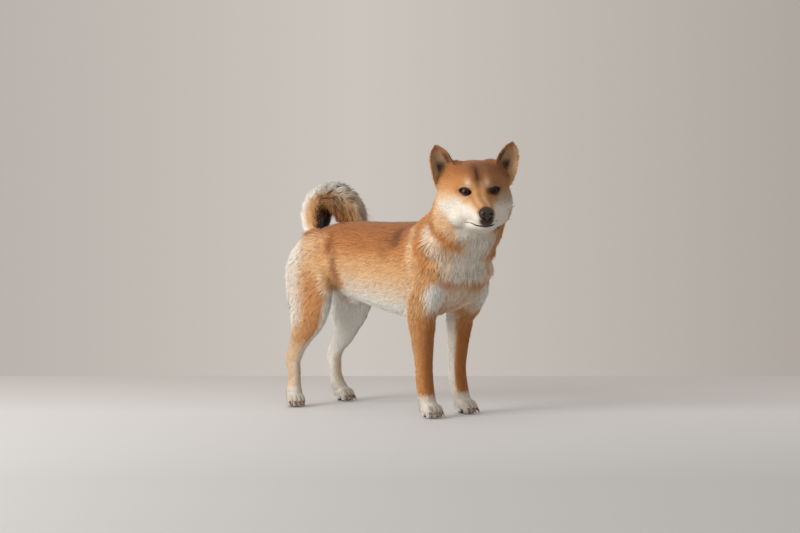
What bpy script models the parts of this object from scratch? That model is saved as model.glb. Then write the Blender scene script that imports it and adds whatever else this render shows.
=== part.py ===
"""A standing shiba inu with its head turned to its right, life size, as a still model.

The dog faces +X, its left side is +Y and the floor is Z = 0, in metres. Flesh is made from
lofts and ellipsoids, melted together by a voxel remesh, and parted by planes into named nodes.
"""

import math
import random

import bmesh
import bpy
import numpy as np
from mathutils import Matrix, Vector
from mathutils.bvhtree import BVHTree

# Driving sizes of the dog, in metres
WITHERS_HEIGHT = 0.391
WITHERS_X = 0.140
CHEST_FRONT_X = 0.226
RUMP_REAR_X = -0.200
GAP = 0.0003
SIDES = {"left": 1, "right": -1}
DOME_ANGLES = (0.45, 0.9, 1.3)
DOME_REACH = 0.8

# The head has its own frame: X to the nose, Y to the dog's left, Z up, origin inside the skull
HEAD_ORIGIN = Vector((0.288, -0.027, 0.436))
HEAD_YAW = math.radians(-35)
HEAD_ROLL = math.radians(2.6)
EYE_CENTRE = Vector((0.0375, 0.0248, 0.0120))
EYE_RADIUS = 0.0125
EYE_GAZE_OUT = math.radians(22)
EYE_SLANT = math.radians(16)
EYE_HALF_LENGTH = 0.0120
EYE_HALF_HEIGHT = 0.0068
LID_RADIUS = 0.0014
LID_POINTS = 16
NOSE_CENTRE = Vector((0.1000, 0.0, -0.0310))
NOSE_HALF = Vector((0.0105, 0.0135, 0.0112))
MOUTH_CORNER = Vector((0.058, 0.030, -0.0455))
MOUTH_FRONT = Vector((0.101, 0.0, -0.0560))
LIP_RADIUS = 0.0020
LIP_STEPS = 8
EAR_BASE = Vector((-0.006, 0.0560, 0.040))
EAR_TIP = Vector((0.012, 0.0770, 0.1050))
EAR_HALF_WIDTH = 0.0255
EAR_HALF_DEPTH = 0.0170
EAR_THICKNESS = 0.0036
EAR_GRID = (8, 10)
EAR_FLARE = 0.55
EAR_FLARE_END = 0.5

# Where each leg comes down: the cannon or forearm above the paw, the paw's middle, and its turn
STANCE = {
    "front_left": {"leg": (0.157, 0.058), "paw": (0.178, 0.057), "turn": 12},
    "front_right": {"leg": (0.177, -0.058), "paw": (0.194, -0.059), "turn": -2},
    "hind_left": {"leg": (-0.223, 0.071), "paw": (-0.203, 0.076), "turn": 10},
    "hind_right": {"leg": (-0.187, -0.079), "paw": (-0.176, -0.088), "turn": -25},
}
PAW_HALF_LENGTH = {"front": 0.0270, "hind": 0.0260}
PAW_HALF_WIDTH = {"front": 0.0215, "hind": 0.0200}
PAW_TOP = {"front": 0.045, "hind": 0.042}
TOES = (-1.5, -0.5, 0.5, 1.5)
CLAW_LENGTH = 0.0100
CLAW_RADIUS = 0.0024
CLAW_DROP = 0.0092
CLAW_SIDES = 6

# The tail's curl, in the plane of the spine, seen from the dog's right
TAIL_CENTRE = Vector((-0.164, 0.0, 0.3950))
TAIL_FROM = math.radians(238)
TAIL_TO = math.radians(-14)
TAIL_CURL_RADIUS = (0.046, 0.062)
TAIL_DRIFT = 0.022
TAIL_COAT_RADIUS = 0.0315
TAIL_CORE_SHARE = 0.5
TAIL_SPLIT = 0.46
LOCK_RINGS = 11
LOCKS_ROUND = 9
LOCK_WIDTHS = (0.0150, 0.0180)
LOCK_THICKNESS = 0.0032

# How finely the flesh is melted and how many triangles each form keeps
BODY_VOXEL = 0.0034
HEAD_VOXEL = 0.0018
PAW_VOXEL = 0.0014
BODY_TRIANGLES = 3600
HEAD_TRIANGLES = 2650
PAW_TRIANGLES = 300
NOSE_VOXEL = 0.0010
NOSE_TRIANGLES = 260

# Materials: base colour, roughness, metallic value
FINISHES = {
    "coat_red": ((0.52, 0.27, 0.12), 0.85, 0.0),
    "coat_cream": ((0.78, 0.70, 0.60), 0.85, 0.0),
    "coat_tail": ((0.66, 0.44, 0.25), 0.85, 0.0),
    "nose_leather": ((0.03, 0.022, 0.02), 0.45, 0.0),
    "eye_dark": ((0.035, 0.018, 0.010), 0.08, 0.0),
    "claw_horn": ((0.12, 0.09, 0.07), 0.4, 0.0),
}

model = None
scratch = None


def clear_scene():
    """Removes what is there and makes the collections for the dog and for its helpers."""
    global model, scratch
    for obj in list(bpy.data.objects):
        bpy.data.objects.remove(obj, do_unlink=True)
    model = bpy.data.collections.new("shiba_inu")
    scratch = bpy.data.collections.new("helpers")
    bpy.context.scene.collection.children.link(model)
    bpy.context.scene.collection.children.link(scratch)


def finish_of(name):
    """The material of that name, made once."""
    material = bpy.data.materials.get(name)
    if material is None:
        colour, roughness, metallic = FINISHES[name]
        material = bpy.data.materials.new(name)
        material.use_nodes = True
        shader = material.node_tree.nodes["Principled BSDF"]
        shader.inputs["Base Color"].default_value = (*colour, 1.0)
        shader.inputs["Roughness"].default_value = roughness
        shader.inputs["Metallic"].default_value = metallic
        material.diffuse_color = (*colour, 1.0)
    return material


def add_object(name, mesh, collection=None):
    """A new object that holds the mesh."""
    obj = bpy.data.objects.new(name, mesh)
    (collection or scratch).objects.link(obj)
    return obj


def object_from(name, bm, collection=None):
    """A new object from a bmesh, with its faces turned out."""
    bmesh.ops.recalc_face_normals(bm, faces=bm.faces)
    mesh = bpy.data.meshes.new(name)
    bm.to_mesh(mesh)
    bm.free()
    return add_object(name, mesh, collection)


def evaluated_copy(obj, name):
    """The object's mesh with its modifiers applied and its place baked in, as a new helper."""
    graph = bpy.context.evaluated_depsgraph_get()
    mesh = bpy.data.meshes.new_from_object(obj.evaluated_get(graph))
    mesh.transform(obj.matrix_world)
    return add_object(name, mesh)


def apply_modifiers(obj):
    """Replaces the object's mesh by its evaluated one."""
    bpy.context.view_layer.update()
    graph = bpy.context.evaluated_depsgraph_get()
    mesh = bpy.data.meshes.new_from_object(obj.evaluated_get(graph))
    obj.modifiers.clear()
    obj.data = mesh
    return obj


def drop(*objects):
    """Removes helpers."""
    for obj in objects:
        bpy.data.objects.remove(obj, do_unlink=True)


def spline(rows, per_span):
    """Rows on a Catmull-Rom curve through the given rows, which may hold radii beside places."""
    rows = np.array(rows, float)
    ends = np.vstack([2 * rows[0] - rows[1], rows, 2 * rows[-1] - rows[-2]])
    made = []
    for a, b, c, d in zip(ends, ends[1:], ends[2:], ends[3:]):
        for t in np.arange(per_span) / per_span:
            square = 2 * a - 5 * b + 4 * c - d
            cube = 3 * b - a - 3 * c + d
            made.append(0.5 * (2 * b + (c - a) * t + square * t**2 + cube * t**3))
    made.append(rows[-1])
    return np.array(made)


def rounded_ends(rows, tangents):
    """The rows with shrinking ones added past both ends, so that a loft ends in a dome."""
    made = []
    for row, tangent, way in ((rows[0], tangents[0], -1), (rows[-1], tangents[-1], 1)):
        reach = DOME_REACH * min(row[3], row[4])
        caps = []
        for angle in DOME_ANGLES:
            cap = row.copy()
            cap[:3] = row[:3] + way * tangent * reach * math.sin(angle)
            cap[3:5] = row[3:5] * math.cos(angle)
            caps.append(cap)
        made.append(caps)
    return np.vstack([made[0][::-1], rows, made[1]])


def loft(bm, rows, side=(0, 1, 0), sides=18, per_span=4):
    """Adds a closed loft through rows of centre x, y, z, half size along side, and half size across it."""
    rows = spline(rows, per_span)
    tangents = np.gradient(rows[:, :3], axis=0)
    tangents /= np.linalg.norm(tangents, axis=1)[:, None]
    rows = rounded_ends(rows, tangents)
    caps = len(DOME_ANGLES)
    tangents = np.vstack([[tangents[0]] * caps, tangents, [tangents[-1]] * caps])
    rings = []
    for row, tangent in zip(rows, tangents):
        tangent = Vector(tangent)
        across = (Vector(side) - tangent * tangent.dot(Vector(side))).normalized()
        deep = tangent.cross(across).normalized()
        ring = []
        for k in range(sides):
            angle = 2 * math.pi * k / sides
            offset = across * (row[3] * math.cos(angle)) + deep * (row[4] * math.sin(angle))
            ring.append(bm.verts.new(Vector(row[:3]) + offset))
        rings.append(ring)
    for low, high in zip(rings, rings[1:]):
        for k in range(sides):
            bm.faces.new((low[k], low[(k + 1) % sides], high[(k + 1) % sides], high[k]))
    bm.faces.new(rings[0])
    bm.faces.new(rings[-1])


def ellipsoid(bm, centre, radii, turn=(0, 0, 0), sides=20):
    """Adds an ellipsoid, turned by angles in degrees about X, Y and Z."""
    turning = Matrix.Identity(4)
    for axis, degrees in zip("ZYX", turn[::-1]):
        turning = turning @ Matrix.Rotation(math.radians(degrees), 4, axis)
    place = Matrix.Translation(centre) @ turning @ Matrix.Diagonal((*radii, 1.0))
    bmesh.ops.create_uvsphere(bm, u_segments=sides, v_segments=sides * 2 // 3, radius=1.0, matrix=place)


def melted(name, bm, voxel, steps, triangles):
    """One skin round all the closed pieces in the bmesh, smoothed, and thinned to that many triangles."""
    obj = object_from(name, bm)
    remesh = obj.modifiers.new("melt", "REMESH")
    remesh.mode = "VOXEL"
    remesh.voxel_size = voxel
    smooth = obj.modifiers.new("smooth", "SMOOTH")
    smooth.factor = 0.5
    smooth.iterations = steps
    apply_modifiers(obj)
    count = 2 * len(obj.data.polygons)
    thin = obj.modifiers.new("thin", "DECIMATE")
    thin.ratio = min(1.0, triangles / count)
    return apply_modifiers(obj)


def region(name, planes, grow=0.0):
    """A convex cutter: what lies behind every plane, given as a point and a normal that faces out of it."""
    bm = bmesh.new()
    bmesh.ops.create_cube(bm, size=3.0)
    for point, normal in planes:
        normal = Vector(normal).normalized()
        cut = bmesh.ops.bisect_plane(
            bm,
            geom=bm.verts[:] + bm.edges[:] + bm.faces[:],
            plane_co=Vector(point) + normal * grow,
            plane_no=normal,
            clear_outer=True,
        )
        edges = [e for e in cut["geom_cut"] if isinstance(e, bmesh.types.BMEdge)]
        bmesh.ops.contextual_create(bm, geom=edges)
    cutter = object_from(name, bm)
    cutter.hide_render = True
    cutter.display_type = "WIRE"
    return cutter


def boolean(obj, other, operation, solver="EXACT"):
    """Applies one Boolean to the object."""
    modifier = obj.modifiers.new(operation.lower(), "BOOLEAN")
    modifier.operation = operation
    modifier.object = other
    modifier.solver = solver
    return apply_modifiers(obj)


def body_length(verts):
    """How long the points reach along X, in steps of a tenth of a millimetre."""
    places = [vert.co.x for vert in verts]
    return round((max(places) - min(places)) * 1e4)


def largest_body(obj):
    """Keeps only the largest closed surface of the object's mesh."""
    bm = bmesh.new()
    bm.from_mesh(obj.data)
    left = set(bm.verts)
    bodies = []
    while left:
        start = left.pop()
        body, edge = {start}, [start]
        while edge:
            for link in edge.pop().link_edges:
                for vert in link.verts:
                    if vert in left:
                        left.remove(vert)
                        body.add(vert)
                        edge.append(vert)
        bodies.append(body)
    keep = max(bodies, key=lambda body: (body_length(body), len(body)))
    bmesh.ops.delete(bm, geom=[v for v in bm.verts if v not in keep], context="VERTS")
    bm.to_mesh(obj.data)
    bm.free()
    return obj


def puffed(obj, distance):
    """A helper copy of the object, a little larger all round."""
    copy = evaluated_copy(obj, obj.name + "_puffed")
    push = copy.modifiers.new("push", "DISPLACE")
    push.strength = distance
    push.mid_level = 0.0
    return apply_modifiers(copy)


def seat(piece, base, gap=GAP):
    """Cuts the piece back from the base, so that it meets its surface with a small gap."""
    cutter = puffed(base, gap)
    boolean(piece, cutter, "DIFFERENCE")
    drop(cutter)
    return largest_body(piece)


def as_node(obj, name, finish):
    """Makes a helper object into one of the dog's named nodes."""
    scratch.objects.unlink(obj)
    model.objects.link(obj)
    obj.name = name
    obj.data.name = name
    obj.data.materials.clear()
    obj.data.materials.append(finish_of(finish))
    obj.data.shade_smooth()
    obj.data.set_sharp_from_angle(angle=math.radians(50))
    return obj


def head_matrix():
    """The head's frame in the dog's frame."""
    turn = Matrix.Rotation(HEAD_YAW, 4, "Z") @ Matrix.Rotation(HEAD_ROLL, 4, "X")
    return Matrix.Translation(HEAD_ORIGIN) @ turn


def in_head(x, y, z):
    """A point of the head's frame, in the dog's frame."""
    return head_matrix() @ Vector((x, y, z))


def eye_axes(side):
    """The gaze, the sideways and the upward axis of an eye, in the head's frame."""
    gaze = Vector((math.cos(EYE_GAZE_OUT), side * math.sin(EYE_GAZE_OUT), 0.0))
    level = Vector((-math.sin(EYE_GAZE_OUT) * side, math.cos(EYE_GAZE_OUT), 0.0)) * side
    up = Vector((0, 0, 1))
    along = level * math.cos(EYE_SLANT) + up * math.sin(EYE_SLANT)
    return gaze, along, (up * math.cos(EYE_SLANT) - level * math.sin(EYE_SLANT))


# Lofts of the trunk and neck
def add_trunk(bm):
    """The rump, loin, ribs and chest as one loft, from back to front, and the sheath under the belly."""
    loft(
        bm,
        [
            (RUMP_REAR_X, 0, 0.316, 0.042, 0.043),
            (-0.165, 0, 0.314, 0.058, 0.062),
            (-0.110, 0, 0.310, 0.064, 0.077),
            (-0.045, 0, 0.304, 0.071, 0.084),
            (0.030, 0, 0.295, 0.078, 0.092),
            (0.100, 0, 0.290, 0.083, 0.098),
            (0.155, 0, 0.294, 0.082, 0.095),
            (0.198, 0, 0.290, 0.076, 0.080),
            (CHEST_FRONT_X, 0, 0.292, 0.056, 0.050),
        ],
        sides=28,
    )
    loft(
        bm,
        [
            (-0.130, 0, 0.250, 0.017, 0.019),
            (-0.098, 0, 0.234, 0.017, 0.019),
            (-0.072, 0, 0.226, 0.011, 0.012),
        ],
    )


def add_forechest(bm):
    """The breast, which fills the front of the chest between the points of the shoulders."""
    ellipsoid(bm, (0.207, 0, 0.336), (0.068, 0.096, 0.050))
    ellipsoid(bm, (0.202, 0, 0.300), (0.066, 0.095, 0.056))
    ellipsoid(bm, (0.198, 0, 0.265), (0.050, 0.078, 0.045))


def add_neck(bm):
    """The neck with its ruff, from the withers and chest up into the back of the head."""
    loft(
        bm,
        [
            (0.128, 0, 0.318, 0.060, 0.066),
            (0.180, 0.002, 0.338, 0.083, 0.073),
            (0.222, 0.002, 0.368, 0.082, 0.071),
            (0.245, -0.004, 0.402, 0.081, 0.068),
            (0.255, -0.013, 0.434, 0.070, 0.062),
        ],
        sides=26,
    )


def add_front_leg(bm, name):
    """A front leg: shoulder, upper arm, forearm, wrist and pastern, down into the paw."""
    s = SIDES[name.split("_")[1]]
    leg_x, leg_y = STANCE[name]["leg"]
    paw_x, paw_y = STANCE[name]["paw"]
    leg_y, paw_y = s * abs(leg_y), s * abs(paw_y)
    loft(
        bm,
        [
            (WITHERS_X - 0.010, s * 0.042, 0.355, 0.024, 0.036),
            (0.172, s * 0.058, 0.305, 0.030, 0.042),
            (0.196, s * 0.062, 0.265, 0.033, 0.036),
            (0.5 * (leg_x + 0.196), s * 0.066, 0.232, 0.031, 0.037),
            (leg_x + 0.002, s * 0.066, 0.203, 0.027, 0.033),
            (leg_x, 0.5 * (leg_y + s * 0.066), 0.170, 0.0240, 0.0285),
        ],
    )
    loft(
        bm,
        [
            (leg_x - 0.004, s * 0.066, 0.215, 0.026, 0.034),
            (leg_x, s * 0.063, 0.170, 0.0235, 0.0275),
            (leg_x, 0.5 * (leg_y + s * 0.062), 0.135, 0.0205, 0.0225),
            (leg_x, leg_y, 0.100, 0.0180, 0.0190),
            (leg_x + 0.001, leg_y, 0.074, 0.0188, 0.0192),
            (0.6 * leg_x + 0.4 * paw_x, 0.6 * leg_y + 0.4 * paw_y, 0.046, 0.0180, 0.0180),
            (0.4 * leg_x + 0.6 * paw_x, 0.4 * leg_y + 0.6 * paw_y, 0.028, 0.0185, 0.0175),
        ],
    )


def add_hind_leg(bm, name):
    """A hind leg: thigh with its breeches, gaskin, hock and long metatarsus, down into the paw."""
    s = SIDES[name.split("_")[1]]
    leg_x, leg_y = STANCE[name]["leg"]
    paw_x, paw_y = STANCE[name]["paw"]
    leg_y, paw_y = s * abs(leg_y), s * abs(paw_y)
    shift = leg_x + 0.205
    loft(
        bm,
        [
            (-0.150, s * 0.040, 0.350, 0.026, 0.040),
            (-0.156, s * 0.056, 0.300, 0.034, 0.064),
            (-0.155 + 0.2 * shift, s * 0.063, 0.255, 0.034, 0.065),
            (-0.156 + 0.7 * shift, 0.4 * leg_y + s * 0.039, 0.215, 0.029, 0.055),
            (-0.166 + 0.9 * shift, 0.7 * leg_y + s * 0.020, 0.180, 0.024, 0.045),
            (-0.178 + 0.8 * shift, leg_y, 0.148, 0.0180, 0.0285),
            (leg_x + 0.009, leg_y, 0.122, 0.0150, 0.0212),
            (leg_x - 0.002, leg_y, 0.099, 0.0148, 0.0198),
            (leg_x + 0.001, leg_y, 0.078, 0.0138, 0.0158),
            (leg_x + 0.002, leg_y, 0.060, 0.0140, 0.0148),
            (0.7 * leg_x + 0.3 * paw_x, 0.7 * leg_y + 0.3 * paw_y, 0.042, 0.0160, 0.0165),
            (0.4 * leg_x + 0.6 * paw_x, 0.4 * leg_y + 0.6 * paw_y, 0.028, 0.0175, 0.0175),
        ],
    )


def add_leg(bm, name):
    """The leg of that name."""
    (add_front_leg if name.startswith("front") else add_hind_leg)(bm, name)


def body_form():
    """Trunk, neck and the four legs as one thinned skin, to be parted into nodes."""
    bm = bmesh.new()
    add_trunk(bm)
    add_forechest(bm)
    add_neck(bm)
    for name in STANCE:
        add_leg(bm, name)
    return melted("body_form", bm, BODY_VOXEL, 9, BODY_TRIANGLES)


# The cuts that part the body
def neck_base_plane():
    """Through the withers and the front of the chest, facing forwards and up."""
    withers = Vector((WITHERS_X + 0.008, 0, WITHERS_HEIGHT))
    along = Vector((CHEST_FRONT_X + 0.012, 0, 0.268)) - withers
    return withers, along.cross(Vector((0, 1, 0))).normalized()


def head_base_plane():
    """Behind the ears and the jaw, facing forwards, in the dog's frame."""
    nape, throat = in_head(-0.062, 0, 0.060), in_head(0.004, 0, -0.075)
    normal = (throat - nape).cross(in_head(0, 1, 0) - HEAD_ORIGIN).normalized()
    return nape, normal


def leg_region(name):
    """The planes that part a leg from the trunk, slanting up and out from the armpit or the groin."""
    s = SIDES[name.split("_")[1]]
    if name.startswith("front"):
        inner, slope, x_limit, lean = (0.0, s * 0.024, 0.205), 48, STANCE[name]["leg"][0] - 0.034, 0.30
        edges = [((x_limit, 0, 0.20), (-1, 0, lean))]
    else:
        inner, slope, x_limit, lean = (0.0, s * 0.016, 0.238), 56, -0.080, 0.42
        edges = [((x_limit, 0, 0.21), (1, 0, lean))]
    slope = math.radians(slope)
    edges.append((inner, (0, -s * math.sin(slope), math.cos(slope))))
    edges.append(((0, s * 0.002, 0), (0, -s, 0)))
    return edges


def paw_plane(name):
    """The level cut between a leg and its paw."""
    return (0, 0, PAW_TOP[name.split("_")[0]]), (0, 0, 1)


def paw_region(name):
    """The paw's side of its cut, kept to its own quarter of the floor."""
    paw_x, paw_y = STANCE[name]["paw"]
    return [
        paw_plane(name),
        ((0, 0, 0), (0, math.copysign(1, -paw_y), 0)),
        ((0, 0, 0), (math.copysign(1, -paw_x), 0, 0)),
    ]


def part_body(body):
    """Cuts the body into the torso, the neck and the four legs."""
    neck_plane, head_plane = neck_base_plane(), head_base_plane()
    torso = evaluated_copy(body, "torso_form")
    neck = evaluated_copy(body, "neck_form")
    front = region("front_of_neck_cut", [(neck_plane[0], -neck_plane[1])], GAP)
    boolean(torso, front, "DIFFERENCE")
    rear = region("neck_side", [(neck_plane[0], -neck_plane[1]), head_plane])
    boolean(neck, rear, "INTERSECT")
    drop(front, rear)
    for name in STANCE:
        leg = evaluated_copy(body, name + "_form")
        planes = leg_region(name)
        point, normal = paw_plane(name)
        keep = region("leg_side", planes + [(point, -Vector(normal))])
        boolean(leg, keep, "INTERSECT")
        away = region("leg_cut", planes, GAP)
        boolean(torso, away, "DIFFERENCE")
        drop(keep, away)
        as_node(largest_body(leg), "leg_" + name, "coat_red")
    as_node(largest_body(torso), "torso", "coat_red")
    as_node(largest_body(neck), "neck", "coat_red")


# Paws and claws
def toe_rows(name, place):
    """The rows of one toe, from inside the paw to its tip, in the paw's frame."""
    kind = name.split("_")[0]
    half_length, half_width = PAW_HALF_LENGTH[kind], PAW_HALF_WIDTH[kind]
    y = place * half_width / 2.05
    reach = half_length - 0.0085 - 0.0045 * (abs(place) > 1)
    width = half_width / 3.75
    return [
        (-0.006, 0.75 * y, 0.020, width, 0.0095),
        (0.45 * reach, 0.95 * y, 0.0195, width * 1.06, 0.0100),
        (0.80 * reach, y, 0.0150, width * 1.08, 0.0098),
        (reach, y * 1.02, 0.0105, width * 0.98, 0.0082),
    ]


def paw_matrix(name):
    """The paw's frame: X along the paw, the floor at Z = 0."""
    paw_x, paw_y = STANCE[name]["paw"]
    turn = Matrix.Rotation(math.radians(STANCE[name]["turn"]), 4, "Z")
    return Matrix.Translation((paw_x, paw_y, 0)) @ turn


def add_paw_pads(bm, name):
    """The large pad and the four toe pads, which reach just under the floor before the floor cut."""
    kind = name.split("_")[0]
    ellipsoid(bm, (-0.006, 0, 0.0075), (0.012, 0.0125, 0.0090))
    for place in TOES:
        row = toe_rows(name, place)[-1]
        ellipsoid(bm, (row[0] - 0.002, row[1], 0.0060), (0.0062, PAW_HALF_WIDTH[kind] / 4.4, 0.0075))


def make_paw(name):
    """A paw with four toes and its pads, standing on small flats, and its claws as nodes of their own."""
    kind = name.split("_")[0]
    half_length, half_width = PAW_HALF_LENGTH[kind], PAW_HALF_WIDTH[kind]
    bm = bmesh.new()
    for place in TOES:
        loft(bm, toe_rows(name, place), sides=14)
    loft(
        bm,
        [
            (-half_length + 0.012, 0, 0.016, half_width * 0.62, 0.0115),
            (-0.004, 0, 0.020, half_width * 0.86, 0.0140),
            (0.008, 0, 0.020, half_width * 0.80, 0.0120),
        ],
        sides=18,
    )
    add_paw_pads(bm, name)
    bm.transform(paw_matrix(name))
    add_leg(bm, name)
    paw = melted("paw_form", bm, PAW_VOXEL, 4, 200000)
    keep = region("paw_side", paw_region(name), -GAP)
    boolean(paw, keep, "INTERSECT")
    thin = paw.modifiers.new("thin", "DECIMATE")
    thin.ratio = PAW_TRIANGLES / max(PAW_TRIANGLES, sum(len(p.vertices) - 2 for p in paw.data.polygons))
    apply_modifiers(paw)
    floor = region("over_floor", [((0, 0, 0), (0, 0, -1)), paw_region(name)[0]], 0.0)
    boolean(paw, floor, "INTERSECT")
    drop(keep, floor)
    for number, place in enumerate(TOES, 1):
        row = toe_rows(name, place)[-1]
        claw = make_claw(f"claw_{name}_{number}", row, paw_matrix(name))
        socket = puffed(claw, GAP)
        boolean(paw, socket, "DIFFERENCE")
        drop(socket)
    as_node(largest_body(paw), "paw_" + name, "coat_cream")


def make_claw(name, toe_tip, place):
    """One curved claw, rooted in the end of its toe and clear of the floor."""
    start = Vector((toe_tip[0] + 0.0030, toe_tip[1], 0.0120))
    bm = bmesh.new()
    rings = []
    for t in (0.0, 0.4, 0.75):
        centre = start + Vector((CLAW_LENGTH * t, 0, -CLAW_DROP * t * t))
        radius = CLAW_RADIUS * (1 - 0.8 * t)
        ring = []
        for k in range(CLAW_SIDES):
            angle = 2 * math.pi * k / CLAW_SIDES
            ring.append(bm.verts.new(centre + Vector((0, 0.85 * math.cos(angle), math.sin(angle))) * radius))
        rings.append(ring)
    tip = bm.verts.new(start + Vector((CLAW_LENGTH, 0, -CLAW_DROP)))
    for k in range(CLAW_SIDES):
        for low, high in zip(rings, rings[1:]):
            bm.faces.new((low[k], low[(k + 1) % CLAW_SIDES], high[(k + 1) % CLAW_SIDES], high[k]))
        bm.faces.new((rings[-1][k], rings[-1][(k + 1) % CLAW_SIDES], tip))
    bm.faces.new(rings[0])
    bm.transform(place)
    return as_node(object_from(name, bm), name, "claw_horn")


# The head
def add_skull(bm):
    """The cranium, from the back of the head to the stop."""
    loft(
        bm,
        [
            (-0.074, 0, 0.014, 0.036, 0.038),
            (-0.050, 0, 0.016, 0.059, 0.052),
            (-0.022, 0, 0.018, 0.067, 0.056),
            (0.003, 0, 0.017, 0.062, 0.054),
            (0.022, 0, 0.010, 0.052, 0.046),
            (0.035, 0, -0.003, 0.040, 0.034),
        ],
        sides=26,
    )


def add_muzzle(bm):
    """The muzzle down to the nose, and the chin and lower jaw under it."""
    loft(
        bm,
        [
            (0.026, 0, -0.020, 0.040, 0.030),
            (0.052, 0, -0.0255, 0.0305, 0.0265),
            (0.076, 0, -0.0320, 0.0245, 0.0232),
            (0.091, 0, -0.0365, 0.0205, 0.0200),
        ],
        sides=22,
    )
    loft(
        bm,
        [
            (0.010, 0, -0.048, 0.038, 0.024),
            (0.046, 0, -0.0520, 0.0275, 0.0140),
            (0.070, 0, -0.0545, 0.0200, 0.0095),
            (0.084, 0, -0.0560, 0.0150, 0.0072),
        ],
        sides=18,
    )


def add_face(bm):
    """Throat, cheeks with their ruff, brows, the crown's corners, the roots of the ears and the lip pads."""
    ellipsoid(bm, (-0.030, 0, -0.034), (0.050, 0.060, 0.046))
    for s in SIDES.values():
        ellipsoid(bm, (-0.014, s * 0.040, -0.010), (0.042, 0.036, 0.052))
        ellipsoid(bm, (0.010, s * 0.032, -0.034), (0.038, 0.029, 0.026))
        ellipsoid(bm, (0.031, s * 0.026, 0.026), (0.016, 0.020, 0.011), (0, 0, s * 15))
        ellipsoid(bm, (-0.012, s * 0.034, 0.048), (0.030, 0.027, 0.0275))
        ellipsoid(bm, (-0.020, s * 0.053, 0.030), (0.024, 0.022, 0.028))
        ellipsoid(bm, (0.080, s * 0.010, -0.041), (0.016, 0.0125, 0.0125))


def mouth_line(head, lift):
    """Points of the mouth line on the head's skin, from one corner round the front to the other."""
    tree = BVHTree.FromObject(head, bpy.context.evaluated_depsgraph_get())
    place = head_matrix()
    turn = place.to_3x3()
    points = []
    for k in range(-LIP_STEPS, LIP_STEPS + 1):
        share = abs(k) / LIP_STEPS
        angle = math.radians(90 + 40 * share) * (1 if k >= 0 else -1) * share
        level = MOUTH_FRONT.z + (MOUTH_CORNER.z - MOUTH_FRONT.z) * share**1.6 + lift
        start = Vector((MOUTH_CORNER.x + 0.018 * (1 - share), 0, level))
        aim = Vector((math.cos(angle), math.sin(angle), 0))
        hit = tree.ray_cast(place @ (start + aim * 0.08), turn @ -aim, 0.1)
        if hit[0] is not None:
            points.append(hit[0])
    return points


def tube(name, points, radius, cyclic=False):
    """A round tube through the points, as a mesh helper with its caps welded."""
    curve = bpy.data.curves.new(name, "CURVE")
    curve.dimensions = "3D"
    curve.bevel_depth = radius
    curve.bevel_resolution = 1
    curve.use_fill_caps = not cyclic
    line = curve.splines.new("POLY")
    line.points.add(len(points) - 1)
    line.use_cyclic_u = cyclic
    for spot, point in zip(line.points, points):
        spot.co = (*point, 1.0)
    guide = add_object(name + "_curve", curve)
    bpy.context.view_layer.update()
    made = evaluated_copy(guide, name)
    drop(guide)
    bm = bmesh.new()
    bm.from_mesh(made.data)
    bmesh.ops.remove_doubles(bm, verts=bm.verts, dist=1e-5)
    bmesh.ops.recalc_face_normals(bm, faces=bm.faces)
    bm.to_mesh(made.data)
    bm.free()
    return made


def almond(side, share, ahead):
    """Points round an eye's opening, scaled by share, at that distance from the ball's middle."""
    gaze, along, up = eye_axes(side)
    centre = Vector((EYE_CENTRE.x, side * EYE_CENTRE.y, EYE_CENTRE.z))
    points = []
    for k in range(LID_POINTS):
        angle = 2 * math.pi * k / LID_POINTS
        u = share * EYE_HALF_LENGTH * math.cos(angle)
        v = share * EYE_HALF_HEIGHT * math.sin(angle) * abs(math.sin(angle)) ** 0.25
        out = math.sqrt(max(ahead * ahead - u * u - v * v, 1e-9))
        points.append(head_matrix() @ (centre + gaze * out + along * u + up * v))
    return points


def make_eye(head, side_name):
    """An eyeball as a node, with its socket, its opening and its lids made in the head."""
    side = SIDES[side_name]
    centre = in_head(EYE_CENTRE.x, side * EYE_CENTRE.y, EYE_CENTRE.z)
    lids = tube("lids", almond(side, 1.0, EYE_RADIUS + 0.0006), LID_RADIUS, cyclic=True)
    boolean(head, lids, "UNION")
    bm = bmesh.new()
    near, far = almond(side, 0.93, EYE_RADIUS * 0.99), almond(side, 1.25, EYE_RADIUS + 0.012)
    rings = [[bm.verts.new(p) for p in ring] for ring in (near, far)]
    for k in range(LID_POINTS):
        following = (k + 1) % LID_POINTS
        bm.faces.new((rings[0][k], rings[0][following], rings[1][following], rings[1][k]))
    bm.faces.new(rings[0])
    bm.faces.new(rings[1])
    opening = object_from("opening", bm)
    boolean(head, opening, "DIFFERENCE")
    bm = bmesh.new()
    facing = head_matrix().to_3x3().to_4x4() @ Matrix.Rotation(math.pi / 2, 4, "Y")
    place = Matrix.Translation(centre) @ facing
    bmesh.ops.create_uvsphere(bm, u_segments=16, v_segments=10, radius=EYE_RADIUS, matrix=place)
    ball = object_from("eye_" + side_name, bm)
    socket = puffed(ball, GAP)
    boolean(head, socket, "DIFFERENCE")
    drop(lids, opening, socket)
    as_node(ball, "eye_" + side_name, "eye_dark")


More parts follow.
